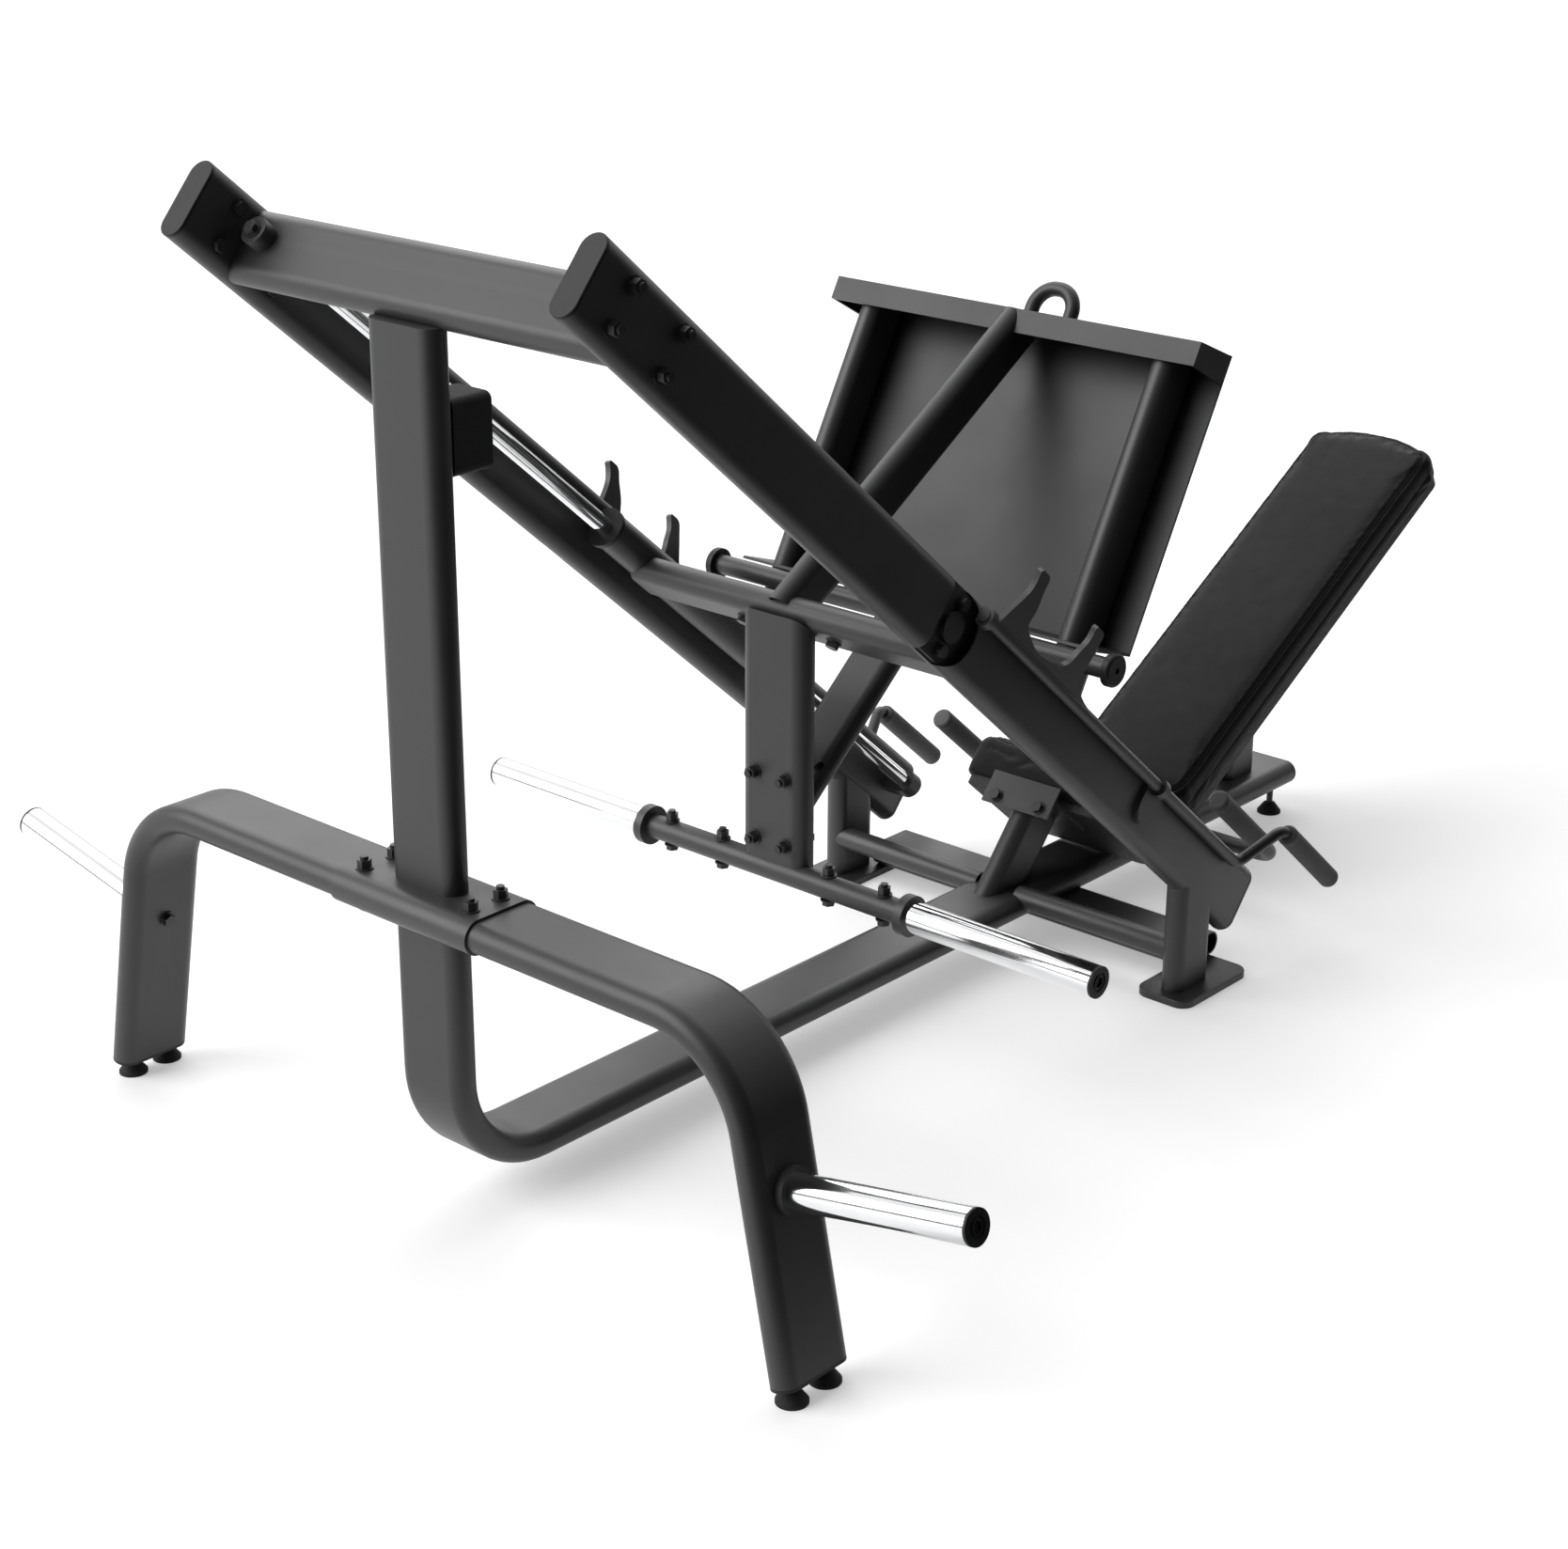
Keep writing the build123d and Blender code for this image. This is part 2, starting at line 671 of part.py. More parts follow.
with BuildPart() as bearing_rings:
    for side in (-1, 1):
        for end_s, inward in ((housing_top_s, 1), (housing_end_s, -1)):
            rod(on_slope(side * guide_x, end_s, guide_h), down_slope * inward, housing_bore_r, bearing_length)
            rod(on_slope(side * guide_x, end_s, guide_h), down_slope * -inward, bearing_rim_r, bearing_rim)
        rod(on_slope(side * guide_x, housing_top_s - overrun, guide_h), down_slope, guide_r + running_gap,
            housing_end_s - housing_top_s + 2 * overrun, mode=Mode.SUBTRACT)
finish(bearing_rings, "bearing_rings")

with BuildPart() as crossbar:
    tube(on_slope(-guide_x, crossbar_s, crossbar_h), down_slope, right,
         crossbar_width, crossbar_thick, 2 * guide_x, shell=wall)
    for side in (-1, 1):
        housing_envelope(side, Mode.SUBTRACT)
        hole(on_slope(side * crossbar_bolt_x, crossbar_bolt_s, crossbar_h - crossbar_thick), off_slope, crossbar_thick)
finish(crossbar, "crossbar")

post_front_y = carriage_post_y - beam_thick / 2
post_rear_y = carriage_post_y + beam_thick / 2
with BuildPart() as carriage_post:
    tube(level(0, carriage_post_y, weight_bar_z), right, up, beam_width, beam_thick, rail_h, shell=wall)
    with BuildSketch(Plane(origin=on_slope(0, crossbar_s, crossbar_h - crossbar_thick / 2), x_dir=(1, 0, 0),
                           z_dir=off_slope)) as above:
        Rectangle(2 * beam_width, 4 * rail_h)
    extrude(above.sketch, amount=2 * rail_h, mode=Mode.SUBTRACT)
    rod(level(-beam_width, weight_bar_y, weight_bar_z), right, weight_bar_r, 2 * beam_width, mode=Mode.SUBTRACT)
    for side in (-1, 1):
        for bolt_z in (post_bolt_low_z, post_bolt_high_z):
            hole(level(side * post_bolt_x, post_front_y - overrun, bolt_z), back_way, 2 * overrun + beam_thick)
finish(carriage_post, "carriage_post")

brace_way = (on_slope(0, stop_bar_s, stop_bar_h) - on_slope(0, brace_foot_s, brace_foot_h)).normalized()
brace_length = (on_slope(0, stop_bar_s, stop_bar_h) - on_slope(0, brace_foot_s, brace_foot_h)).length
brace_plate_mid_z = (brace_plate_low_z + brace_plate_high_z) / 2
with BuildPart() as carriage_brace:
    tube(on_slope(0, brace_foot_s, brace_foot_h) - brace_way * overrun, right, brace_way,
         brace_width, brace_thick, brace_length + overrun, shell=wall)
    block(level(0, post_rear_y + brace_plate, brace_plate_mid_z), right, back_way * -1,
          2 * beam_width, 4 * (brace_plate_high_z - brace_plate_low_z), 2 * beam_width, mode=Mode.SUBTRACT)
    rod(on_slope(-beam_width, stop_bar_s, stop_bar_h), right, stop_bar_r, 2 * beam_width, mode=Mode.SUBTRACT)
    crossbar_envelope(Mode.SUBTRACT)
    block(level(0, post_rear_y, brace_plate_mid_z), right, back_way,
          2 * brace_plate_half_x, brace_plate_high_z - brace_plate_low_z, brace_plate)
    for side in (-1, 1):
        for bolt_z in (post_bolt_low_z, post_bolt_high_z):
            hole(level(side * post_bolt_x, post_front_y, bolt_z), back_way, 2 * beam_thick)
finish(carriage_brace, "carriage_brace")

# Weight bar with its collars, sleeves and caps.
weight_sleeve_x = weight_collar_x + weight_collar_width
with BuildPart() as weight_bar:
    rod(level(-weight_collar_x, weight_bar_y, weight_bar_z), right, weight_bar_r, 2 * weight_collar_x)
    for x in (-weight_bolt_outer_x, -weight_bolt_inner_x, weight_bolt_inner_x, weight_bolt_outer_x):
        hole(level(x, weight_bar_y, weight_bar_z - weight_bar_r), up, 2 * weight_bar_r)
finish(weight_bar, "weight_bar")

with BuildPart() as weight_collars:
    for side in (-1, 1):
        rod(level(side * weight_collar_x, weight_bar_y, weight_bar_z), right * side, peg_collar_r, weight_collar_width)
finish(weight_collars, "weight_collars")

with BuildPart() as weight_sleeves:
    for side in (-1, 1):
        weight_sleeve(level(side * weight_sleeve_x, weight_bar_y, weight_bar_z), right * side,
                      weight_tip_x - peg_cap_plate - weight_sleeve_x)
finish(weight_sleeves, "weight_sleeves")

with BuildPart() as weight_caps:
    for side in (-1, 1):
        weight_cap(level(side * (weight_tip_x - peg_cap_plate), weight_bar_y, weight_bar_z), right * side)
finish(weight_caps, "weight_caps")

# Footplate tray. Its side view is drawn in (up the panel, away from the user) from the panel's low edge.
footplate_low = on_slope(0, footplate_low_s, footplate_low_h)
footplate_high = on_slope(0, footplate_high_s, footplate_high_h)
panel_way = (footplate_high - footplate_low).normalized()
panel_length = (footplate_high - footplate_low).length
panel_side = Plane(origin=footplate_low, x_dir=panel_way, z_dir=(1, 0, 0))
away_way = panel_side.y_dir
lip_top = panel_length - footplate_lip_drop
lip_end = lip_top - footplate_lip
upright_x = footplate_half_x - upright_inset


def prism(points, from_x, to_x, mode=Mode.ADD):
    with BuildSketch(panel_side.offset(from_x)) as outline:
        with BuildLine() as edge:
            Polyline(*points, close=True)
        make_face()
    extrude(outline.sketch, amount=to_x - from_x, mode=mode)


with BuildPart() as footplate:
    prism(((0, 0), (panel_length, 0), (panel_length, footplate_thick), (0, footplate_thick)),
          -footplate_half_x, footplate_half_x)
    prism(((panel_length, 0), (lip_top, footplate_depth), (lip_top - footplate_thick, footplate_depth),
           (panel_length - footplate_thick, 0)), -footplate_half_x, footplate_half_x)
    prism(((lip_top, footplate_depth), (lip_end, footplate_depth), (lip_end, footplate_depth - footplate_thick),
           (lip_top - footplate_thick, footplate_depth - footplate_thick)), -footplate_half_x, footplate_half_x)
    prism(((0, 0), (footplate_thick, 0), (footplate_thick - footplate_toe_drop, footplate_toe),
           (-footplate_toe_drop, footplate_toe)), -footplate_half_x, footplate_half_x)
    for low_x in (-footplate_half_x, footplate_half_x - footplate_thick):
        prism(((panel_length, 0), (lip_top, footplate_depth), (lip_end, footplate_depth), (lip_end, 0)),
              low_x, low_x + footplate_thick)
    for side in (-1, 1):
        tube(footplate_low + right * side * upright_x + away_way * (footplate_thick + upright_width / 2 - upright_sink)
             - panel_way * footplate_toe, away_way, panel_way, upright_width, upright_thick,
             footplate_toe + footplate_thick, mode=Mode.SUBTRACT)
finish(footplate, "footplate")

with BuildPart() as footplate_uprights:
    for side in (-1, 1):
        foot = footplate_low + right * side * upright_x + away_way * (footplate_thick + upright_width / 2 - upright_sink)
        tube(foot - panel_way * panel_length, away_way, panel_way, upright_width, upright_thick,
             panel_length + lip_top - footplate_thick, shell=wall)
        with BuildSketch(Plane(origin=on_slope(side * guide_x, housing_end_s, guide_h), x_dir=(1, 0, 0),
                               z_dir=off_slope)) as below:
            Rectangle(4 * upright_thick, 4 * rail_h)
        extrude(below.sketch, amount=-2 * rail_h, mode=Mode.SUBTRACT)
        housing_envelope(side, Mode.SUBTRACT)
    prism(((0, 0), (panel_length, 0), (panel_length, footplate_thick), (0, footplate_thick)),
          -footplate_half_x, footplate_half_x, mode=Mode.SUBTRACT)
finish(footplate_uprights, "footplate_uprights")

ridge_foot = on_slope(0, ridge_foot_s, ridge_foot_h)
ridge_head = on_slope(0, ridge_head_s, ridge_head_h)
ridge_way = (ridge_head - ridge_foot).normalized()
with BuildPart() as footplate_ridge:
    tube(ridge_foot - ridge_way * ridge_width, right.cross(ridge_way), ridge_way, ridge_width, ridge_thick,
         (ridge_head - ridge_foot).length + 3 * ridge_width, shell=wall)
    with BuildSketch(Plane(origin=on_slope(0, crossbar_s, crossbar_h), x_dir=(1, 0, 0), z_dir=off_slope)) as under:
        Rectangle(2 * beam_width, 4 * rail_h)
    extrude(under.sketch, amount=-2 * rail_h, mode=Mode.SUBTRACT)
    crossbar_envelope(Mode.SUBTRACT)
    inner = footplate_depth - footplate_thick
    prism(((panel_length - footplate_thick, 0), (lip_top - footplate_thick, inner), (lip_end, inner),
           (lip_end, footplate_depth), (lip_top, footplate_depth), (lip_top, 2 * panel_length),
           (2 * panel_length, 2 * panel_length), (2 * panel_length, 0)), -beam_width, beam_width, mode=Mode.SUBTRACT)
    prism(((-panel_length, footplate_thick), (2 * panel_length, footplate_thick),
           (2 * panel_length, -panel_length), (-panel_length, -panel_length)), -beam_width, beam_width,
          mode=Mode.SUBTRACT)
finish(footplate_ridge, "footplate_ridge")

with BuildPart() as footplate_handle:
    loop_plane = Plane(origin=footplate_low - away_way * (loop_r - loop_sink), x_dir=(1, 0, 0), z_dir=away_way)
    loop_low = panel_length - loop_leg
    loop_top = panel_length + loop_rise
    left_foot = loop_plane.from_local_coords(Vector(-loop_half_x, loop_low, 0))
    with BuildLine() as loop_path:
        FilletPolyline(left_foot, loop_plane.from_local_coords(Vector(-loop_half_x, loop_top - loop_r, 0)),
                       loop_plane.from_local_coords(Vector(loop_half_x, loop_top - loop_r, 0)),
                       loop_plane.from_local_coords(Vector(loop_half_x, loop_low, 0)), radius=loop_bend_r)
    with BuildSketch(Plane(origin=left_foot, z_dir=panel_way)) as loop_cut:
        Circle(loop_r)
    sweep(sections=loop_cut.sketch, path=loop_path.wire())
    prism(((0, 0), (panel_length, 0), (lip_top, footplate_depth), (0, footplate_depth)),
          -footplate_half_x, footplate_half_x, mode=Mode.SUBTRACT)
finish(footplate_handle, "footplate_handle")

with BuildPart() as stop_bar:
    bar_half = stop_disc_tip_x - stop_disc_width
    rod(on_slope(-bar_half, stop_bar_s, stop_bar_h), right, stop_bar_r, 2 * bar_half)
    for side in (-1, 1):
        foot = footplate_low + right * side * upright_x + away_way * (footplate_thick + upright_width / 2 - upright_sink)
        tube(foot - panel_way * panel_length, away_way, panel_way, upright_width, upright_thick,
             2 * panel_length, mode=Mode.SUBTRACT)
    prism(((0, 0), (footplate_thick, 0), (footplate_thick - footplate_toe_drop, footplate_toe),
           (-footplate_toe_drop, footplate_toe)), -footplate_half_x, footplate_half_x, mode=Mode.SUBTRACT)
finish(stop_bar, "stop_bar")

with BuildPart() as stop_discs:
    for side in (-1, 1):
        rod(on_slope(side * bar_half, stop_bar_s, stop_bar_h), right * side, stop_disc_r, stop_disc_width)
    fillet(stop_discs.faces().filter_by(Axis.X).sort_by(Axis.X)[0].edges(), radius=stop_disc_round)
    fillet(stop_discs.faces().filter_by(Axis.X).sort_by(Axis.X)[-1].edges(), radius=stop_disc_round)
    for side in (-1, 1):
        rod(on_slope(side * stop_disc_tip_x, stop_bar_s, stop_bar_h), right * -side, stop_disc_dimple_r,
            stop_disc_dimple_depth, mode=Mode.SUBTRACT)
finish(stop_discs, "stop_discs")

# Lock levers: bent rod, hook plate and grip on each side.
hook_shares = (
    ((0, 0), (0.006, 0.231), (0.019, 0.444), (0.028, 0.713), (0.009, 0.880), (-0.006, 0.954)),
    ((0.003, 1), (0.047, 1)),
    ((0.047, 1), (0.084, 0.944), (0.097, 0.852), (0.122, 0.713), (0.159, 0.491), (0.172, 0.352), (0.191, 0.287),
     (0.216, 0.259), (0.297, 0.185), (0.378, 0.148), (0.472, 0.176), (0.531, 0.213), (0.578, 0.269),
     (0.600, 0.352), (0.606, 0.565), (0.610, 0.750), (0.597, 0.880), (0.585, 0.954)),
    ((0.592, 1), (0.636, 1)),
    ((0.636, 1), (0.672, 0.944), (0.684, 0.852), (0.703, 0.685), (0.722, 0.509), (0.741, 0.352), (0.769, 0.241),
     (0.828, 0.157), (0.900, 0.105), (1, 0.08)),
)
for side, name in sides:
    tilt_way = right * side * sin(radians(lever_tilt)) + off_slope * cos(radians(lever_tilt))
    lever_foot = on_slope(side * lever_x, lever_top_s, lever_h)
    with BuildPart() as lock_lever:
        with BuildLine() as lever_path:
            FilletPolyline(lever_foot, on_slope(side * lever_x, lever_crank_s, lever_h),
                           on_slope(side * lever_x, lever_grip_s, lever_h) + tilt_way * lever_rise,
                           on_slope(side * lever_x, lever_end_s, lever_h) + tilt_way * lever_rise,
                           radius=lever_bend_r)
        with BuildSketch(Plane(origin=lever_foot, z_dir=down_slope)) as lever_cut:
            Circle(lever_r)
        sweep(sections=lever_cut.sketch, path=lever_path.wire())
    finish(lock_lever, f"lock_lever_{name}")

    grip_tip = on_slope(side * lever_x, lever_end_s + lever_grip_overhang, lever_h) + tilt_way * lever_rise
    with BuildPart() as lever_grip:
        rod(grip_tip, down_slope * -1, lever_grip_r, lever_grip_length)
        fillet(lever_grip.edges().filter_by(GeomType.CIRCLE), radius=lever_grip_round)
        rod(grip_tip - down_slope * lever_grip_overhang, down_slope * -1, lever_r, lever_grip_length,
            mode=Mode.SUBTRACT)
    finish(lever_grip, f"lever_grip_{name}")

    hook_way = right * side * sin(radians(hook_tilt)) + off_slope * cos(radians(hook_tilt))
    hook_plane = Plane(origin=on_slope(side * lever_x, hook_start_s, lever_h), x_dir=down_slope,
                       z_dir=down_slope.cross(hook_way))
    with BuildPart() as lock_hook:
        with BuildSketch(hook_plane) as hook_face:
            with BuildLine() as hook_edge:
                rows = [[(a * hook_length, b * hook_height) for a, b in row] for row in hook_shares]
                Spline(*rows[0])
                Polyline(rows[0][-1], *rows[1])
                Spline(*rows[2])
                Polyline(rows[2][-1], *rows[3])
                Spline(*rows[4])
                Polyline(rows[4][-1], (hook_length, 0), (0, 0))
            make_face()
        extrude(amount=hook_thick / 2, both=True)
        rod(on_slope(side * lever_x, hook_start_s - overrun, lever_h), down_slope, lever_r,
            hook_length + 2 * overrun, mode=Mode.SUBTRACT)
        block(on_slope(side * lever_x, hook_start_s - overrun, lever_h) - hook_way * lever_r, hook_way, down_slope,
              2 * lever_r, 2 * hook_thick, hook_length + 2 * overrun, mode=Mode.SUBTRACT)
    finish(lock_hook, f"lock_hook_{name}")

# Seat post, bracket, board and pad.
with BuildPart() as seat_post:
    tube(on_slope(0, seat_post_s, seat_under_h - bracket_thick), down_slope, off_slope * -1,
         seat_post_width, seat_post_thick, rail_h, shell=wall)
    block(level(0, spine_end_y / 2, spine_low_z + beam_thick / 2), right, up * -1,
          2 * beam_width, spine_end_y, rail_h, mode=Mode.SUBTRACT)
finish(seat_post, "seat_post")

bracket_start_s = seat_front_s - bracket_drop / 2 - bracket_thick
with BuildPart() as seat_bracket:
    block(on_slope(0, bracket_start_s + bracket_length / 2, seat_under_h - bracket_thick), right, off_slope,
          2 * bracket_half_x, bracket_length, bracket_thick)
    block(on_slope(0, bracket_start_s, seat_under_h + (bracket_front_rise - bracket_drop) / 2), right, down_slope,
          2 * bracket_half_x, bracket_front_rise + bracket_drop, bracket_thick)
    for side in (-1, 1):
        hole(on_slope(side * bracket_bolt_x, bracket_start_s - overrun, seat_under_h - bracket_drop / 2 - bracket_thick / 2),
             down_slope, 2 * overrun)
finish(seat_bracket, "seat_bracket")

seat_plane = Plane(origin=on_slope(0, seat_front_s, seat_under_h), x_dir=(1, 0, 0), z_dir=off_slope)
back_cos = cos(radians(back_slope))
back_sin = sin(radians(back_slope))
back_face = Plane(origin=level(0, back_low_y, back_low_z), x_dir=(1, 0, 0), z_dir=(0, -back_sin, back_cos))


def pad_outline(plane, half_x, length, inset, bow, mode=Mode.ADD):
    # A board or cushion outline with rounded corners and, for the backrest, a bowed upper edge.
    with BuildSketch(plane) as outline:
        with BuildLine() as edge:
            low = inset
            high = length - inset - bow
            side_x = half_x - inset
            Polyline((-side_x, high), (-side_x, low), (side_x, low), (side_x, high))
            if bow:
                ThreePointArc((side_x, high), (0, high + bow), (-side_x, high))
            else:
                Line((side_x, high), (-side_x, high))
        make_face()
        fillet(outline.vertices(), radius=pad_corner - inset / 3)
    return outline.sketch


# Rows from the base up: inset over the seam's, height over the body's, crown share, groove share.
pad_row_shares = (
    (0.50, 0.00, 0.0, 0.0), (0.10, 0.16, 0.0, 0.0), (0.00, 0.45, 0.0, 0.0), (0.10, 0.76, 0.0, 0.0),
    (0.38, 0.93, 0.0, 0.0), (0.80, 1.00, 0.0, 0.0), (1.00, 1.00, 0.0, 1.0), (1.20, 1.00, 0.0, 0.0),
    (2.60, 1.00, 0.6, 0.0), (5.00, 1.00, 1.0, 0.0),
)


def pad_form(base, half_x, length, thick, bow):
    body = thick - pad_crown
    rows = []
    for inset, height, crown, groove in pad_row_shares:
        level_plane = base.offset(body * height + pad_crown * crown - pad_groove * groove)
        rows.append(pad_outline(level_plane, half_x, length, pad_seam_inset * inset, bow))
    loft(sections=rows, ruled=True)


with BuildPart() as seat_board:
    extrude(pad_outline(seat_plane, seat_half_x, seat_length, seat_board_inset, 0), amount=seat_board_thick)
finish(seat_board, "seat_board")

with BuildPart() as seat_pad:
    pad_form(seat_plane.offset(seat_board_thick), seat_half_x, seat_length, seat_pad_thick, 0)
finish(seat_pad, "seat_pad")

# Backrest post, bracket, board and pad.
back_stack = back_pad_thick + back_board_thick + back_bracket_thick
bracket_mid = (back_post_y - back_low_y - back_stack * back_sin) / back_cos
with BuildPart() as back_post:
    tube(level(0, back_post_y, spine_low_z + beam_thick / 2), back_way, up, back_post_width, back_post_thick,
         back_length, shell=wall)
    with BuildSketch(back_face.offset(-back_stack)) as above:
        with Locations((0, bracket_mid)):
            Rectangle(2 * beam_width, back_length)
    extrude(above.sketch, amount=2 * back_length, mode=Mode.SUBTRACT)
finish(back_post, "back_post")

with BuildPart() as back_bracket:
    with BuildSketch(back_face.offset(-back_stack)) as plate:
        with Locations((0, bracket_mid)):
            Rectangle(2 * back_bracket_half_x, back_bracket_length)
    extrude(plate.sketch, amount=back_bracket_thick)
finish(back_bracket, "back_bracket")

with BuildPart() as back_board:
    extrude(pad_outline(back_face.offset(-back_pad_thick - back_board_thick), back_half_x, back_length,
                        back_board_inset, back_top_bow), amount=back_board_thick)
finish(back_board, "back_board")

with BuildPart() as back_pad:
    pad_form(back_face.offset(-back_pad_thick), back_half_x, back_length, back_pad_thick, back_top_bow)
finish(back_pad, "back_pad")

# Hand grips beside the seat, on one tube bent across the spine.
with BuildPart() as handle_tube:
    with BuildLine() as handle_path:
        FilletPolyline(on_slope(-seat_grip_x, seat_grip_s + seat_grip_end, seat_grip_h),
                       on_slope(-seat_grip_x, seat_tube_s, seat_grip_h),
                       on_slope(seat_grip_x, seat_tube_s, seat_grip_h),
                       on_slope(seat_grip_x, seat_grip_s + seat_grip_end, seat_grip_h), radius=seat_tube_bend_r)
    with BuildSketch(Plane(origin=on_slope(-seat_grip_x, seat_grip_s + seat_grip_end, seat_grip_h),
                           z_dir=down_slope)) as handle_cut:
        Circle(seat_tube_r)
    sweep(sections=handle_cut.sketch, path=handle_path.wire())
    spine_beam_envelope(Mode.SUBTRACT)
finish(handle_tube, "handle_tube")

with BuildPart() as handle_grips:
    for side in (-1, 1):
        rod(on_slope(side * seat_grip_x, seat_grip_s, seat_grip_h), down_slope, seat_grip_r, seat_grip_length)
    fillet(handle_grips.edges().filter_by(GeomType.CIRCLE), radius=lever_grip_round)
    for side in (-1, 1):
        rod(on_slope(side * seat_grip_x, seat_grip_s + seat_grip_end, seat_grip_h), down_slope, seat_tube_r,
            seat_grip_length, mode=Mode.SUBTRACT)
finish(handle_grips, "handle_grips")

# Fasteners: one node of bolts and one of nuts for the frame, and the same for the carriage.
arch_grip = beam_thick + 2 * sleeve_wall
nut_reach = washer_h + nut_h + bolt_tail
arch_places = [(side * arch_bolt_x, across * arch_bolt_y) for side in (-1, 1) for across in (-1, 1)]
rail_places = [(side, bolt_s, rail_h + across * rail_bolt_h) for side in (-1, 1)
               for bolt_s in (rail_bolt_s_upper, rail_bolt_s_lower) for across in (-1, 1)]
with BuildPart() as frame_bolts:
    for x, y in arch_places:
        bolt(level(x, y, arch_z - arch_grip / 2), up * -1, arch_grip + nut_reach)
    for side, s, n in rail_places:
        bolt(on_slope(side * (rail_x - rail_thick / 2), s, n), right * -side, rail_thick + nut_reach)
    for side in (-1, 1):
        bolt(peg_start(side) - peg_way(side) * beam_thick / 2, peg_way(side) * -1, blind_grip)
        for across in (-1, 1):
            bolt(on_slope(side * (rail_x + pocket_floor), joint_middle_s, rail_h + across * joint_bolt_h),
                 right * side, blind_grip)
        bolt(on_slope(side * bracket_bolt_x, bracket_start_s, seat_under_h - bracket_drop / 2 - bracket_thick / 2),
             down_slope * -1, bracket_thick + nut_reach)
        bolt(on_slope(side * guide_x, top_beam_s - top_beam_thick / 2 - rod_boss_h, guide_h), down_slope * -1,
             rod_boss_h + top_beam_thick + blind_grip)
finish(frame_bolts, "frame_bolts")

with BuildPart() as frame_nuts:
    for x, y in arch_places:
        nut(level(x, y, arch_z + arch_grip / 2), up)
    for side, s, n in rail_places:
        nut(on_slope(side * (rail_x + rail_thick / 2), s, n), right * side)
    for side in (-1, 1):
        nut(on_slope(side * bracket_bolt_x, bracket_start_s + bracket_thick,
                     seat_under_h - bracket_drop / 2 - bracket_thick / 2), down_slope)
finish(frame_nuts, "frame_nuts")

weight_bolt_places = (-weight_bolt_outer_x, -weight_bolt_inner_x, weight_bolt_inner_x, weight_bolt_outer_x)
post_places = [(side * post_bolt_x, z) for side in (-1, 1) for z in (post_bolt_low_z, post_bolt_high_z)]
with BuildPart() as carriage_bolts:
    for x in weight_bolt_places:
        bolt(level(x, weight_bar_y, weight_bar_z - weight_bar_r), up * -1, 2 * weight_bar_r + nut_reach)
    for x, z in post_places:
        bolt(level(x, post_rear_y + brace_plate, z), back_way, beam_thick + brace_plate + nut_reach)
    for side in (-1, 1):
        bolt(on_slope(side * crossbar_bolt_x, crossbar_bolt_s, crossbar_h - crossbar_thick / 2), off_slope * -1,
             blind_grip)
finish(carriage_bolts, "carriage_bolts")

with BuildPart() as carriage_nuts:
    for x in weight_bolt_places:
        nut(level(x, weight_bar_y, weight_bar_z + weight_bar_r), up)
    for x, z in post_places:
        nut(level(x, post_front_y, z), back_way * -1)
finish(carriage_nuts, "carriage_nuts")
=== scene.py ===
"""Looks for the angled leg press: materials, cushions, grips, stage, light and camera.

Metres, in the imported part's own frame. Names that end in _MM are in millimetres.
"""

import json
import math

import bpy
import numpy as np
from mathutils import Matrix, Vector, noise
from mathutils.bvhtree import BVHTree


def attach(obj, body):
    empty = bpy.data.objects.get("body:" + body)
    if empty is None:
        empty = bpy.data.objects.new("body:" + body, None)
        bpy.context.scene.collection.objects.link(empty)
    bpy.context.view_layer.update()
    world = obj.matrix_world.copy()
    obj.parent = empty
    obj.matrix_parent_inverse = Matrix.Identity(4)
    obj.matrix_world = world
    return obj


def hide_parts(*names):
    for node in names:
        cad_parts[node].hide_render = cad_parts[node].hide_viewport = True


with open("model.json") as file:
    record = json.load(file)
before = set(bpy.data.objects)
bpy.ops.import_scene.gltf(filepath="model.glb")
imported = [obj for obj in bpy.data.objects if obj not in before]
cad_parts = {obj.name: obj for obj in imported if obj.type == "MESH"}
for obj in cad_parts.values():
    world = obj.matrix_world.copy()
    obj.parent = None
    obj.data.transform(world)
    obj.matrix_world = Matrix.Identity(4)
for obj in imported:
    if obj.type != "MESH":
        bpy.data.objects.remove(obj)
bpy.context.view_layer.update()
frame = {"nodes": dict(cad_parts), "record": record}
nodes = frame["nodes"]

MM = 0.001
ARCH_Y_MM = -1230.14  # the cross arch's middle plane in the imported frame
SLOPE = math.radians(40.5)
RUN, DROP = math.cos(SLOPE), math.sin(SLOPE)
DOWN = Vector((0, RUN, -DROP))
OFF = Vector((0, DROP, RUN))
RIGHT = Vector((1, 0, 0))


def level(x, y, z):
    """A point given in millimetres, with y from the cross arch."""
    return Vector((x, ARCH_Y_MM + y, z)) * MM


def on_slope(x, s, n):
    """A point s millimetres down the rails' slope and n millimetres off it."""
    return level(x, s * RUN + n * DROP, n * RUN - s * DROP)


# ---------------------------------------------------------------- materials
NOISE_LOW, NOISE_HIGH = 0.3, 0.7  # the band that most noise values fall in


def new_material(name):
    material = bpy.data.materials.new(name)
    material.use_nodes = True
    tree = material.node_tree
    return material, tree, tree.nodes["Principled BSDF"]


def object_coordinates(tree):
    return tree.nodes.new("ShaderNodeTexCoord").outputs["Object"]


def noise_node(tree, vector, scale, detail=3.0, roughness=0.55):
    node = tree.nodes.new("ShaderNodeTexNoise")
    node.inputs["Scale"].default_value = scale
    node.inputs["Detail"].default_value = detail
    node.inputs["Roughness"].default_value = roughness
    tree.links.new(vector, node.inputs["Vector"])
    return node.outputs["Fac"]


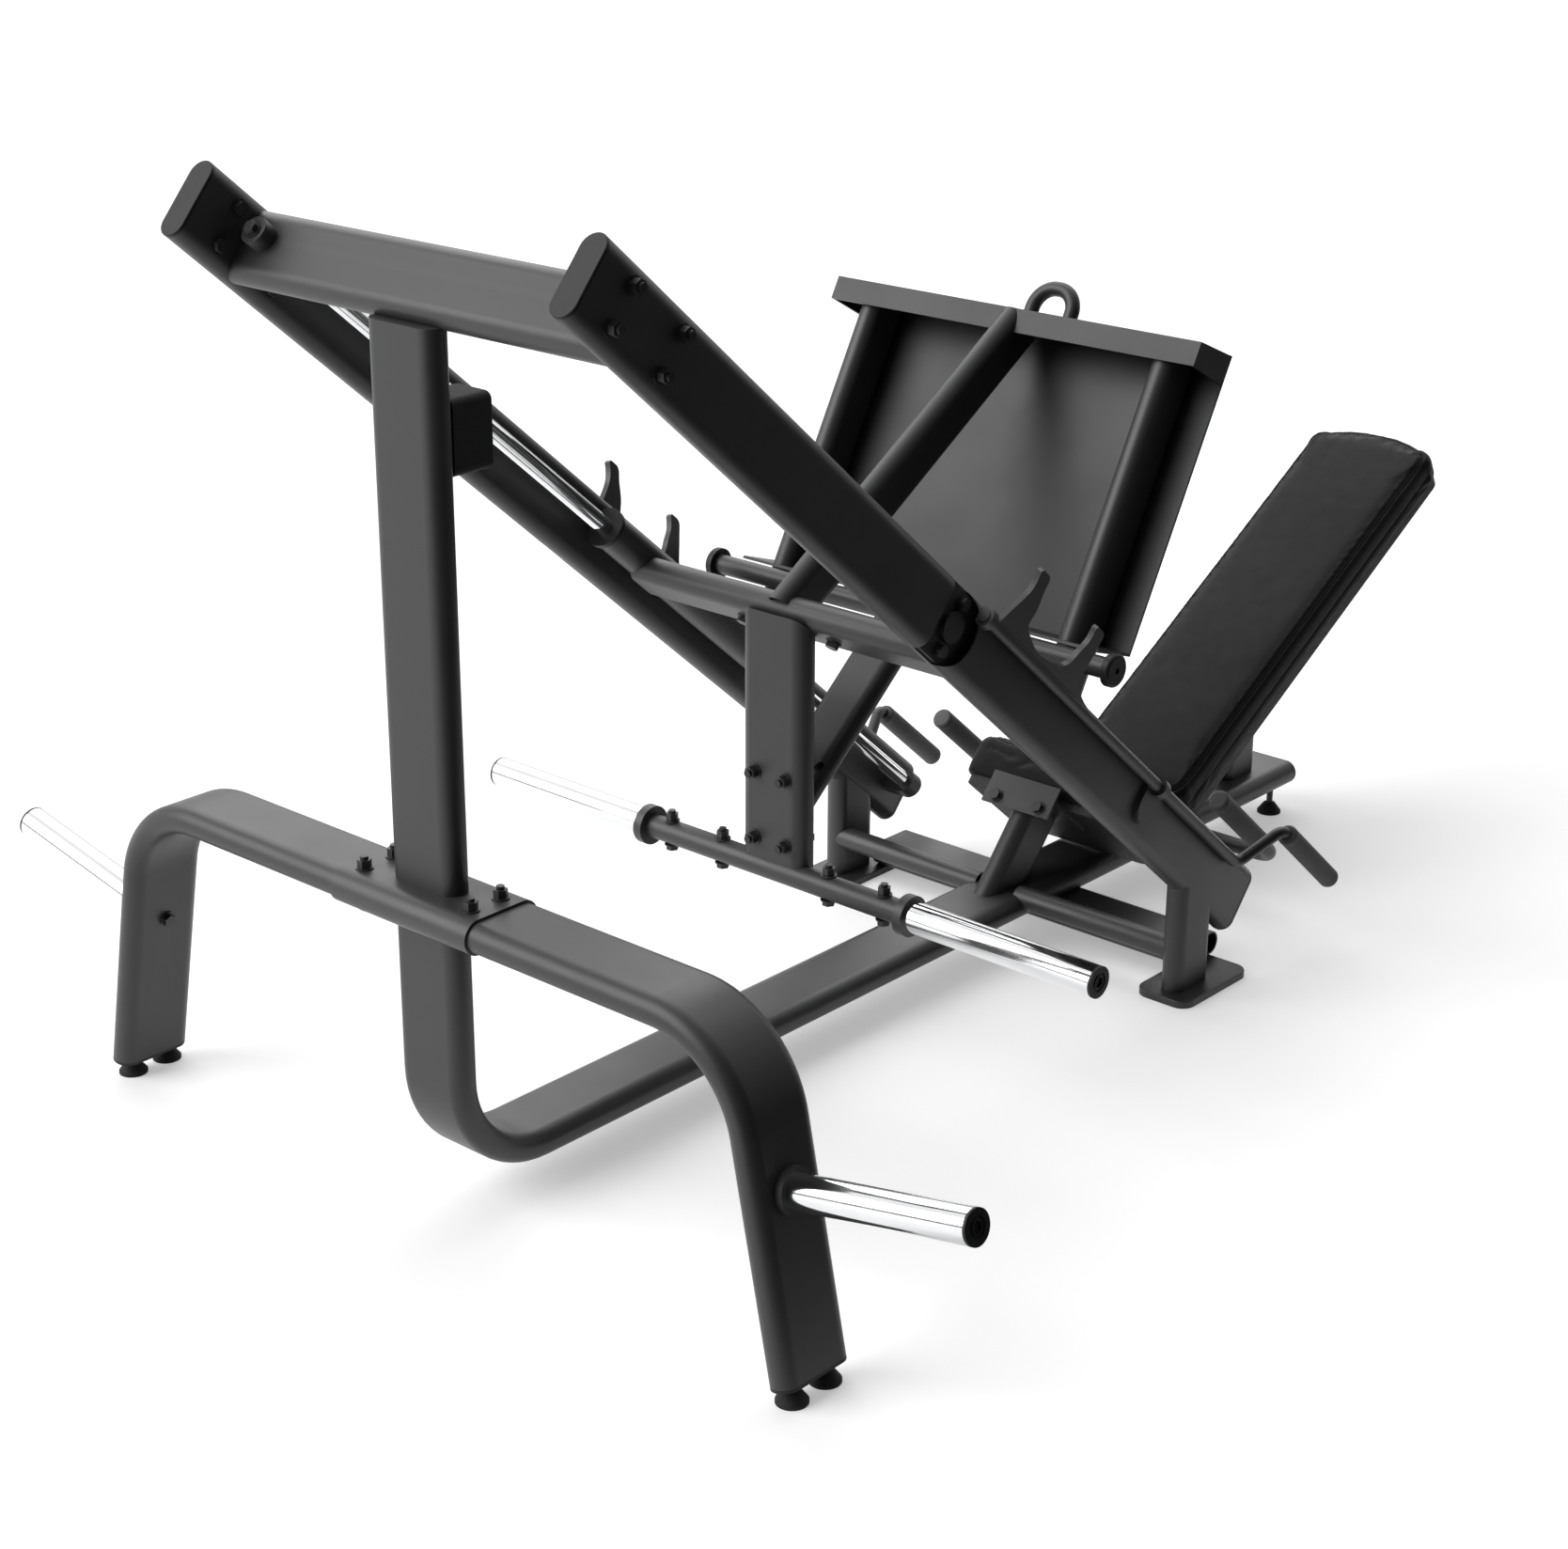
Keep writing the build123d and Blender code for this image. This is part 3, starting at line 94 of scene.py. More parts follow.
def ramp(tree, value, stops):
    """Each stop is (place, (red, green, blue))."""
    node = tree.nodes.new("ShaderNodeValToRGB")
    elements = node.color_ramp.elements
    while len(elements) < len(stops):
        elements.new(0.5)
    for element, (place, colour) in zip(elements, stops):
        element.position = place
        element.color = (*colour, 1)
    tree.links.new(value, node.inputs["Fac"])
    return node.outputs["Color"]


def remap(tree, value, low, high, to_low, to_high):
    node = tree.nodes.new("ShaderNodeMapRange")
    limits = {"From Min": low, "From Max": high, "To Min": to_low, "To Max": to_high}
    for key, number in limits.items():
        node.inputs[key].default_value = number
    tree.links.new(value, node.inputs["Value"])
    return node.outputs["Result"]


def two_tone(tree, value, dark, light):
    return ramp(tree, value, ((NOISE_LOW, dark), (NOISE_HIGH, light)))


def spread(tree, value, low, high):
    return remap(tree, value, NOISE_LOW, NOISE_HIGH, low, high)


def maths(tree, operation, first, second):
    node = tree.nodes.new("ShaderNodeMath")
    node.operation = operation
    tree.links.new(first, node.inputs[0])
    tree.links.new(second, node.inputs[1])
    return node.outputs[0]


def bump(tree, shader, layers):
    """Each layer is (height socket, strength, distance); later layers sit on earlier ones."""
    normal = None
    for height, strength, distance in layers:
        node = tree.nodes.new("ShaderNodeBump")
        node.inputs["Strength"].default_value = strength
        node.inputs["Distance"].default_value = distance
        tree.links.new(height, node.inputs["Height"])
        if normal is not None:
            tree.links.new(normal, node.inputs["Normal"])
        normal = node.outputs["Normal"]
    tree.links.new(normal, shader.inputs["Normal"])


COAT_DRIFT, COAT_DETAIL = 5.0, 4.0  # scale and detail of a coat's drifting tone
WORN_FROM, WORN_TO = 0.53, 0.62  # pointiness between which an edge wears through
WORN_GAIN = 2.4  # a worn edge is this much paler than the light tone
COAT_BUMP = 0.35


def coat_material(name, dark, light, rough, grain, grain_depth, specular, edge):
    """Painted or moulded black surface: drifting tone, fine grain, paler worn edges."""
    material, tree, shader = new_material(name)
    place = object_coordinates(tree)
    drift = noise_node(tree, place, COAT_DRIFT, COAT_DETAIL)
    fine = noise_node(tree, place, grain, 2.0)
    tone = two_tone(tree, drift, dark, light)
    geometry = tree.nodes.new("ShaderNodeNewGeometry")
    worn = remap(tree, geometry.outputs["Pointiness"], WORN_FROM, WORN_TO, 0.0, edge)
    mix = tree.nodes.new("ShaderNodeMix")
    mix.data_type = "RGBA"
    tree.links.new(worn, mix.inputs["Factor"])
    tree.links.new(tone, mix.inputs["A"])
    mix.inputs["B"].default_value = (*(part * WORN_GAIN for part in light), 1)
    tree.links.new(mix.outputs["Result"], shader.inputs["Base Color"])
    tree.links.new(spread(tree, drift, *rough), shader.inputs["Roughness"])
    shader.inputs["Specular IOR Level"].default_value = specular
    bump(tree, shader, ((fine, COAT_BUMP, grain_depth),))
    return material


CHROME_TONES = (0.78, 0.79, 0.80), (0.86, 0.87, 0.88)
CHROME_ROUGH = 0.05, 0.13
SMUDGE_SCALE, SMUDGE_HIGH = 14.0, 0.75
POLISH_SCALE, POLISH_BUMP, POLISH_DEPTH = 420.0, 0.02, 0.0001


def chrome_material():
    """Polished chrome with faint smudges and polishing marks."""
    material, tree, shader = new_material("polished_chrome")
    place = object_coordinates(tree)
    smudge = noise_node(tree, place, SMUDGE_SCALE, 5.0)
    fine = noise_node(tree, place, POLISH_SCALE, 2.0)
    tree.links.new(two_tone(tree, smudge, *CHROME_TONES), shader.inputs["Base Color"])
    roughness = remap(tree, smudge, NOISE_LOW, SMUDGE_HIGH, *CHROME_ROUGH)
    tree.links.new(roughness, shader.inputs["Roughness"])
    shader.inputs["Metallic"].default_value = 1.0
    bump(tree, shader, ((fine, POLISH_BUMP, POLISH_DEPTH),))
    return material


VINYL_TONES = (0.0120, 0.0120, 0.0125), (0.0160, 0.0160, 0.0165)
VINYL_ROUGH = 0.42, 0.58
PEBBLE_SCALE, PEBBLE_BUMP, PEBBLE_DEPTH = 620.0, 0.30, 0.00035
CREASE_SCALE, CREASE_BUMP, CREASE_DEPTH = 46.0, 0.12, 0.0006
VINYL_DRIFT = 3.5


def vinyl_material():
    """Upholstery vinyl: pebbled grain of cells with fine creases, soft sheen."""
    material, tree, shader = new_material("pad_vinyl")
    place = object_coordinates(tree)
    cells = tree.nodes.new("ShaderNodeTexVoronoi")
    cells.inputs["Scale"].default_value = PEBBLE_SCALE
    tree.links.new(place, cells.inputs["Vector"])
    creases = noise_node(tree, place, CREASE_SCALE, 6.0, 0.62)
    drift = noise_node(tree, place, VINYL_DRIFT, 3.0)
    tree.links.new(two_tone(tree, drift, *VINYL_TONES), shader.inputs["Base Color"])
    tree.links.new(spread(tree, creases, *VINYL_ROUGH), shader.inputs["Roughness"])
    shader.inputs["Specular IOR Level"].default_value = 0.10
    shader.inputs["Sheen Weight"].default_value = 0.04
    shader.inputs["Sheen Roughness"].default_value = 0.45
    pebbles = cells.outputs["Distance"]
    bump(tree, shader, ((creases, CREASE_BUMP, CREASE_DEPTH), (pebbles, PEBBLE_BUMP, PEBBLE_DEPTH)))
    return material


RUBBER_ROUGH = 0.66, 0.86
RUBBER_DRIFT, RUBBER_BUMP, RUBBER_DEPTH = 9.0, 0.45, 0.0005


def rubber_material(name, dark, light, speck_scale):
    """Matt rubber or thread: even tone with a fine speckle."""
    material, tree, shader = new_material(name)
    place = object_coordinates(tree)
    speck = noise_node(tree, place, speck_scale, 3.0, 0.7)
    drift = noise_node(tree, place, RUBBER_DRIFT, 3.0)
    tree.links.new(two_tone(tree, drift, dark, light), shader.inputs["Base Color"])
    tree.links.new(spread(tree, speck, *RUBBER_ROUGH), shader.inputs["Roughness"])
    shader.inputs["Specular IOR Level"].default_value = 0.35
    bump(tree, shader, ((speck, RUBBER_BUMP, RUBBER_DEPTH),))
    return material


BOARD_TONES = (0.016, 0.016, 0.016), (0.028, 0.027, 0.027)
BOARD_ROUGH = 0.5, 0.7
BOARD_STRETCH = 60.0, 4.0, 60.0
BOARD_BUMP, BOARD_DEPTH = 0.35, 0.0006


def board_material():
    """Black painted plywood: stretched grain under the paint."""
    material, tree, shader = new_material("pad_board")
    place = object_coordinates(tree)
    stretch = tree.nodes.new("ShaderNodeMapping")
    stretch.inputs["Scale"].default_value = BOARD_STRETCH
    tree.links.new(place, stretch.inputs["Vector"])
    grain = noise_node(tree, stretch.outputs["Vector"], 3.0, 6.0)
    tree.links.new(two_tone(tree, grain, *BOARD_TONES), shader.inputs["Base Color"])
    tree.links.new(spread(tree, grain, *BOARD_ROUGH), shader.inputs["Roughness"])
    bump(tree, shader, ((grain, BOARD_BUMP, BOARD_DEPTH),))
    return material


paint = coat_material(
    "black_powder_coat", (0.0230, 0.0232, 0.0236), (0.0300, 0.0302, 0.0306),
    rough=(0.36, 0.46), grain=900.0, grain_depth=0.00035, specular=0.52, edge=0.35)
plastic = coat_material(
    "moulded_plastic", (0.017, 0.017, 0.018), (0.023, 0.023, 0.024),
    rough=(0.42, 0.54), grain=1300.0, grain_depth=0.0003, specular=0.3, edge=0.2)
oxide = coat_material(
    "black_oxide_steel", (0.012, 0.012, 0.013), (0.022, 0.022, 0.023),
    rough=(0.32, 0.48), grain=500.0, grain_depth=0.0002, specular=0.45, edge=0.6)
chrome = chrome_material()
vinyl = vinyl_material()
welt = coat_material(
    "welt_vinyl", (0.008, 0.008, 0.0085), (0.011, 0.011, 0.0115),
    rough=(0.50, 0.60), grain=900.0, grain_depth=0.0002, specular=0.1, edge=0.0)
rubber = rubber_material("foot_rubber", (0.012, 0.012, 0.012), (0.020, 0.020, 0.020), 700.0)
grip_rubber = rubber_material("grip_rubber", (0.110, 0.110, 0.112), (0.140, 0.140, 0.142), 480.0)
board = board_material()
thread = rubber_material("seam_thread", (0.012, 0.012, 0.012), (0.018, 0.018, 0.018), 900.0)
# A darker, less glossy copy of the frame's powder coat, for the footplate alone: painted shade,
# since the footplate wears the same paint as the frame.
footplate_painted_shade = coat_material(
    "powder_coat_painted_shade", (0.0180, 0.0182, 0.0186), (0.0235, 0.0237, 0.0241),
    rough=(0.38, 0.48), grain=900.0, grain_depth=0.00035, specular=0.42, edge=0.35)
SLOT_MATERIALS = {
    "frame_paint": paint, "chrome": chrome, "rubber": rubber, "black_plastic": plastic,
    "bearing_plastic": plastic, "vinyl": vinyl, "board": board, "dark_steel": oxide}
# The footplate gets the darker copy of the frame paint, which paints shade onto it.
NODE_MATERIALS = {"footplate": footplate_painted_shade}

for row in frame["record"]["subparts"]:
    materials = nodes[row["node"]].data.materials
    materials.clear()
    materials.append(NODE_MATERIALS.get(row["node"], SLOT_MATERIALS[row["material_slot"]]))

# ---------------------------------------------------------------- mesh helpers
SHARP_EDGE = 32  # degrees; a cushion's skin stays smooth up to CUSHION_EDGE
CUSHION_EDGE = 60


def shade(obj, angle=SHARP_EDGE):
    for polygon in obj.data.polygons:
        polygon.use_smooth = True
    obj.data.set_sharp_from_angle(angle=math.radians(angle))


def link(name, mesh):
    obj = bpy.data.objects.new(name, mesh)
    bpy.context.scene.collection.objects.link(obj)
    return obj


def mesh_object(name, vertices, faces, material, body):
    mesh = bpy.data.meshes.new(name)
    mesh.from_pydata([tuple(v) for v in vertices], [], faces)
    mesh.update()
    obj = link(name, mesh)
    mesh.materials.append(material)
    shade(obj)
    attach(obj, body)
    return obj


# ---------------------------------------------------------------- cushions
# All lengths in metres. A share is taken of the height of the pad's sides.
SWELL_TRIM = 0.003  # the pad starts this much smaller, as room for the swelling
SWELL_CAP = 0.005  # no point of the skin moves further
SWELL_PINNED = 0.003  # what lies below this height is held on the board
SWELL_FRAMES = 20
VOXEL = 0.005
TUCK_ROWS = (0.012, 0.0), (0.0060, 0.0012), (0.0024, 0.0050)  # inset, height at the board
SIDE_STEPS, SHOULDER_STEPS = 6, 8
SHOULDER_SHARE, SHOULDER_RISE_SHARE = 0.72, 0.28
CORNER_MIN, CORNER_SHRINK = 0.004, 0.55
CROWN_SHARE, CROWN_EASE = 0.5, 0.045
SEAM_INSET = 0.015
SEAM_CORNER_SHARE, STITCH_CORNER_SHARE = 0.8, 0.7  # of the pad's corner
TOP_SHARE, TOP_FADE_SHARE = 0.80, 0.12  # where the top's relief starts, and over what
GROOVE_DEPTH, GROOVE_WIDTH = 0.0032, 0.0034
LIP_HEIGHT, LIP_AT, LIP_WIDTH = 0.0006, 0.0075, 0.004  # rise beside the groove
PUCKER_HEIGHT, PUCKER_WIDTH, PUCKER_TURNS = 0.00045, 0.012, 90
DRIFT_SCALE, DRIFT_HEIGHT = 7.0, 0.0010
RIPPLE_SCALE, RIPPLE_HEIGHT = 24.0, 0.0004
SIDE_SEAM_SHARE, SIDE_SEAM_DEPTH, SIDE_SEAM_WIDTH = 0.42, 0.0030, 0.0028
SIDE_SEAM_REACH = SEAM_INSET * 1.2  # how far in from the edge the side seam shows
WELT_R, WELT_SIDES, WELT_LIFT = 0.0017, 8, 0.0006
STITCH_OFF = 0.0075  # from the welt towards the pad's middle
STITCH_STEP, STITCH_SPAN = 9, 6  # points of the stitch line: one stitch to the next, and its own
STITCH_HALF_WIDTH, STITCH_ROOT, STITCH_RISE, STITCH_LIFT = 0.0005, 0.0014, 0.0004, 0.0001
STITCH_END_SHARE = 0.22
ROW_POINTS, SEAM_POINTS, WELT_POINTS, STITCH_POINTS = 150, 90, 240, 1400
TINY = 1e-6


class Pad:
    """Sizes of one cushion: x across, y along it from its origin, z out of the board."""

    def __init__(self, half_x, length, thick, corner, bow, crown):
        self.half_x, self.length, self.thick = half_x, length, thick
        self.corner, self.bow, self.crown = corner, bow, crown
        self.wide = half_x - SWELL_TRIM
        self.side = thick - crown - SWELL_TRIM

    def outline(self, inset, corner, count):
        """Points round the pad at an inset, with rounded corners and a bowed far end."""
        half_x, low, high = self.wide - inset, inset, self.length - inset - self.bow
        points = []

        def arc(cx, cy, start, end, steps):
            for k in range(steps):
                turn = start + (end - start) * k / steps
                points.append((cx + corner * math.cos(turn), cy + corner * math.sin(turn)))

        def line(a, b, steps):
            for k in range(steps):
                share = k / steps
                points.append((a[0] + (b[0] - a[0]) * share, a[1] + (b[1] - a[1]) * share))

        quarter = max(6, count // 12)
        across = max(10, count // 8)
        along = max(14, count // 5)
        arc(half_x - corner, low + corner, -math.pi / 2, 0, quarter)
        line((half_x, low + corner), (half_x, high - corner), along)
        arc(half_x - corner, high - corner, 0, math.pi / 2, quarter)
        width = half_x - corner
        for k in range(across):
            x = width - 2 * width * k / across
            points.append((x, high + self.bow * (1 - (x / width) ** 2)))
        arc(-half_x + corner, high - corner, math.pi / 2, math.pi, quarter)
        line((-half_x, high - corner), (-half_x, low + corner), along)
        arc(-half_x + corner, low + corner, math.pi, 1.5 * math.pi, quarter)
        line((-half_x + corner, low), (half_x - corner, low), across)
        return points

    def seam(self, count):
        return self.outline(SEAM_INSET, self.corner * SEAM_CORNER_SHARE, count)

    def rows(self):
        """Inset and height of each ring: tuck, side and rounded shoulder."""
        rows = list(TUCK_ROWS)
        draw, start = TUCK_ROWS[-1]
        for k in range(1, SIDE_STEPS):
            turn = math.pi / 2 * k / (SIDE_STEPS - 1)
            height = start + (self.side * SHOULDER_SHARE - start) * k / SIDE_STEPS
            rows.append((draw - draw * math.sin(turn), height))
        for k in range(SHOULDER_STEPS + 1):
            turn = math.pi / 2 / SHOULDER_STEPS * k
            share = SHOULDER_SHARE + SHOULDER_RISE_SHARE * math.sin(turn)
            rows.append((SEAM_INSET * (1 - math.cos(turn)), self.side * share))
        return rows

    def crown_at(self, x, y):
        """How far the crown rises at a point: full in the middle, nothing at the edges."""
        far = self.length - self.bow * (x / self.half_x) ** 2
        ease = 1 - np.exp(-(self.half_x - np.abs(x)) / CROWN_EASE)
        ease = ease * (1 - np.exp(-np.abs(y) / CROWN_EASE))
        ease = ease * (1 - np.exp(-np.abs(far - y) / CROWN_EASE))
        return self.crown * ease


def ring_faces(rows, ring):
    faces = []
    for r in range(rows - 1):
        for k in range(ring):
            n = (k + 1) % ring
            faces.append((r * ring + k, r * ring + n, (r + 1) * ring + n, (r + 1) * ring + k))
    return faces + [tuple(reversed(range(ring))), tuple(range((rows - 1) * ring, rows * ring))]


def evaluated_mesh(obj):
    graph = bpy.context.evaluated_depsgraph_get()
    return bpy.data.meshes.new_from_object(obj.evaluated_get(graph))


def positions(mesh):
    flat = np.empty(len(mesh.vertices) * 3)
    mesh.vertices.foreach_get("co", flat)
    return flat.reshape(-1, 3)


def place_vertices(mesh, at):
    mesh.vertices.foreach_set("co", at.ravel())
    mesh.update()


def pad_mesh(name, pad):
    """The plain pad, remeshed into even quads, with its crown."""
    vertices = []
    rows = pad.rows()
    for inset, height in rows:
        points = pad.outline(inset, max(CORNER_MIN, pad.corner - inset * CORNER_SHRINK), ROW_POINTS)
        vertices += [(x, y, height) for x, y in points]
    mesh = bpy.data.meshes.new(name)
    mesh.from_pydata(vertices, [], ring_faces(len(rows), len(points)))
    raw = link(name + "_raw", mesh)
    remesh = raw.modifiers.new("even", "REMESH")
    remesh.mode, remesh.voxel_size = "VOXEL", VOXEL
    mesh = evaluated_mesh(raw)
    bpy.data.objects.remove(raw)
    at = positions(mesh)
    crown_from = pad.side * CROWN_SHARE
    rise = np.clip((at[:, 2] - crown_from) / crown_from, 0, 1)
    at[:, 2] += pad.crown_at(at[:, 0], at[:, 1]) * rise
    place_vertices(mesh, at)
    return mesh


def swell(obj):
    """Blow the pad up as cloth; its back stays on the board and no point passes the cap."""
    start = positions(obj.data)
    pins = obj.vertex_groups.new(name="pins")
    pins.add([int(k) for k in np.nonzero(start[:, 2] < SWELL_PINNED)[0]], 1.0, "REPLACE")
    cloth = obj.modifiers.new("swell", "CLOTH")
    settings = cloth.settings
    settings.quality = 5
    settings.mass = 0.35
    settings.tension_stiffness = settings.compression_stiffness = 18.0
    settings.shear_stiffness = 8.0
    settings.bending_stiffness = 1.5
    settings.use_pressure = True
    settings.uniform_pressure_force = 4.0
    settings.vertex_group_mass = "pins"
    settings.effector_weights.gravity = 0.0
    cloth.collision_settings.use_collision = False
    cloth.point_cache.frame_start, cloth.point_cache.frame_end = 1, SWELL_FRAMES
    scene = bpy.context.scene
    for step in range(1, SWELL_FRAMES + 1):
        scene.frame_set(step)
    moved = positions(evaluated_mesh(obj)) - start
    reach = np.linalg.norm(moved, axis=1, keepdims=True)
    moved *= SWELL_CAP * np.tanh(reach / SWELL_CAP) / np.maximum(reach, 1e-9)
    obj.modifiers.remove(cloth)
    obj.vertex_groups.remove(pins)
    place_vertices(obj.data, start + moved)
    scene.frame_set(1)


def refine(obj):
    finer = obj.modifiers.new("finer", "SUBSURF")
    finer.levels = finer.render_levels = 1
    smooth = evaluated_mesh(obj)
    obj.modifiers.remove(finer)
    obj.data = smooth


def seam_distance(points, path):
    """Distance in the pad's own plane from each point to the nearest piece of the closed path."""
    best = np.full(len(points), 1e9)
    for a, b in zip(path, np.roll(path, -1, axis=0)):
        span = b - a
        share = np.clip(((points - a) @ span) / max(span @ span, 1e-12), 0, 1)
        best = np.minimum(best, np.linalg.norm(points - (a + share[:, None] * span), axis=1))
    return best


def bell(distance, width):
    return np.exp(-(distance / width) ** 2)


def sew(mesh, pad):
    """Sink the seams into the finished skin, with soft puckers across the upper one."""
    at = positions(mesh)
    gap = seam_distance(at[:, :2], np.array(pad.seam(SEAM_POINTS)))
    top = np.clip((at[:, 2] - pad.side * TOP_SHARE) / (pad.side * TOP_FADE_SHARE), 0, 1)
    turn = np.arctan2(at[:, 1] - pad.length / 2, at[:, 0]) * PUCKER_TURNS
    groove = -GROOVE_DEPTH * bell(gap, GROOVE_WIDTH)
    groove += LIP_HEIGHT * bell(gap - LIP_AT, LIP_WIDTH)
    pucker = PUCKER_HEIGHT * np.sin(turn) * bell(gap, PUCKER_WIDTH)
    drift = np.array([
        noise.noise(Vector(v) * DRIFT_SCALE) * DRIFT_HEIGHT
        + noise.noise(Vector(v) * RIPPLE_SCALE) * RIPPLE_HEIGHT for v in at])
    at[:, 2] += (groove + pucker) * top + drift * top
    flank = np.clip(1 - gap / SIDE_SEAM_REACH, 0, 1) * (at[:, 2] < pad.side * TOP_SHARE)
    off_seam = at[:, 2] - pad.side * SIDE_SEAM_SHARE
    sunk = SIDE_SEAM_DEPTH * bell(off_seam, SIDE_SEAM_WIDTH) * flank
    core_y = np.clip(at[:, 1], pad.half_x, pad.length - pad.half_x)
    away = np.stack([at[:, 0], at[:, 1] - core_y], axis=1)
    away /= np.maximum(np.linalg.norm(away, axis=1, keepdims=True), TINY)
    at[:, :2] -= away * sunk[:, None]
    place_vertices(mesh, at)


def add_welt(name, pad, on_skin, up, body):
    """A thin cord sewn into the seam."""
    cord = [on_skin(x, y, WELT_LIFT) for x, y in pad.seam(WELT_POINTS)]
    turns = [2 * math.pi / WELT_SIDES * j for j in range(WELT_SIDES)]
    vertices, faces = [], []
    for k, point in enumerate(cord):
        along = (cord[(k + 1) % len(cord)] - cord[k - 1]).normalized()
        across = along.cross(up).normalized()
        rise = across.cross(along)
        vertices += [point + (across * math.cos(a) + rise * math.sin(a)) * WELT_R for a in turns]
    for k in range(len(cord)):
        here, there = k * WELT_SIDES, (k + 1) % len(cord) * WELT_SIDES
        for j in range(WELT_SIDES):
            m = (j + 1) % WELT_SIDES
            faces.append((here + j, here + m, there + m, there + j))
    mesh_object(name + "_welt", vertices, faces, welt, body)


def add_stitches(name, pad, on_skin, up, body):
    """Short threads in a line beside the welt."""
    inset = SEAM_INSET + STITCH_OFF
    path = pad.outline(inset, pad.corner * STITCH_CORNER_SHARE, STITCH_POINTS)
    root, rise = up * STITCH_ROOT, up * STITCH_RISE
    vertices, faces = [], []
    for k in range(0, len(path) - STITCH_STEP, STITCH_STEP):
        a, b = (on_skin(*path[m], STITCH_LIFT) for m in (k, k + STITCH_SPAN))
        across = (b - a).normalized().cross(up).normalized() * STITCH_HALF_WIDTH
        c, d = a.lerp(b, STITCH_END_SHARE), a.lerp(b, 1 - STITCH_END_SHARE)
        f = len(vertices)
        vertices += [a - across - root, a + across - root, b + across - root, b - across - root]
        vertices += [c - across + rise, c + across + rise, d + across + rise, d - across + rise]
        faces += [
            (f, f + 3, f + 2, f + 1), (f + 4, f + 5, f + 6, f + 7), (f, f + 1, f + 5, f + 4),
            (f + 1, f + 2, f + 6, f + 5), (f + 2, f + 3, f + 7, f + 6), (f + 3, f, f + 4, f + 7)]
    mesh_object(name + "_stitches", vertices, faces, thread, body)


def cushion(name, node, origin, y_way, pad, body):
    """A firm sewn pad: rounded sides drawn in at the board, a low crown, a welted seam."""
    obj = link(name, pad_mesh(name, pad))
    swell(obj)
    refine(obj)
    smooth = obj.data
    sew(smooth, pad)
    up = RIGHT.cross(y_way).normalized()
    place = Matrix((RIGHT, y_way, up)).transposed().to_4x4()
    place.translation = origin
    skin = BVHTree.FromPolygons(
        [tuple(v.co) for v in smooth.vertices], [tuple(f.vertices) for f in smooth.polygons])
    smooth.transform(place)
    smooth.materials.clear()
    smooth.materials.append(vinyl)
    shade(obj, CUSHION_EDGE)
    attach(obj, body)
    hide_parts(node)

    def on_skin(x, y, lift):
        hit = skin.ray_cast(Vector((x, y, 1.0)), Vector((0, 0, -1)))[0]
        return place @ Vector((x, y, hit.z + lift))

    add_welt(name, pad, on_skin, up, body)
    add_stitches(name, pad, on_skin, up, body)


BACK_TILT = math.radians(30.2)
BACK_FACE_MM = 0, 1662.0, 195.5  # the lower end of the backrest's face
SEAT_START_MM, SEAT_UNDER_MM, SEAT_BOARD_MM = 905.0, 1088.0, 14.0

back_pad = Pad(half_x=0.141, length=0.992, thick=0.070, corner=0.034, bow=0.018, crown=0.007)
back_along = Vector((0, math.cos(BACK_TILT), math.sin(BACK_TILT)))
back_origin = level(*BACK_FACE_MM) - RIGHT.cross(back_along) * back_pad.thick
cushion("backrest_cushion", "back_pad", back_origin, back_along, back_pad, "frame")
seat_pad = Pad(half_x=0.166, length=0.236, thick=0.088, corner=0.034, bow=0.0, crown=0.007)
seat_origin = on_slope(0, SEAT_START_MM, SEAT_UNDER_MM + SEAT_BOARD_MM)
cushion("seat_cushion", "seat_pad", seat_origin, DOWN, seat_pad, "frame")

# ---------------------------------------------------------------- grips
LATHE_STEPS = 48  # round the axis
GRIP_LENGTH, GRIP_ROUND = 0.205, 0.006
ROUND_STEPS = 6  # over each rounded end
GRIP_RINGS, RING_END = 26, 0.012  # shallow rings, from this far inside both ends
RING_HALF, RING_EDGE, RING_DEPTH = 0.0012, 0.0001, 0.0006
SEAT_GRIP_R, LEVER_GRIP_R = 0.019, 0.018
# From the middle, down the slope and off it.
SEAT_GRIP_X_MM, SEAT_GRIP_S_MM, SEAT_GRIP_H_MM = 306.0, 985.0, 1204.0
LEVER_X_MM, LEVER_TIP_S_MM, LEVER_H_MM = 408.5, 1208.0, 1097.0
LEVER_TILT, LEVER_RISE_MM = math.radians(23.1), 95.6  # the cranked handle off the lever's rod


def lathe(name, origin, axis, profile, material, body):
    """A closed turned form. The profile is (along, radius) pairs that start and end on the axis."""
    axis = axis.normalized()
    side = axis.orthogonal().normalized()
    across = axis.cross(side)
    vertices, faces = [origin + axis * profile[0][0]], []
    rings = profile[1:-1]
    for along, radius in rings:
        for k in range(LATHE_STEPS):
            turn = 2 * math.pi * k / LATHE_STEPS
            spoke = side * math.cos(turn) + across * math.sin(turn)
            vertices.append(origin + axis * along + spoke * radius)
    vertices.append(origin + axis * profile[-1][0])
    last = len(vertices) - 1
    for k in range(LATHE_STEPS):
        n = (k + 1) % LATHE_STEPS
        faces.append((0, 1 + n, 1 + k))
        for r in range(len(rings) - 1):
            a, b = 1 + r * LATHE_STEPS, 1 + (r + 1) * LATHE_STEPS
            faces.append((a + k, a + n, b + n, b + k))
        a = 1 + (len(rings) - 1) * LATHE_STEPS
        faces.append((a + k, a + n, last))
    return mesh_object(name, vertices, faces, material, body)


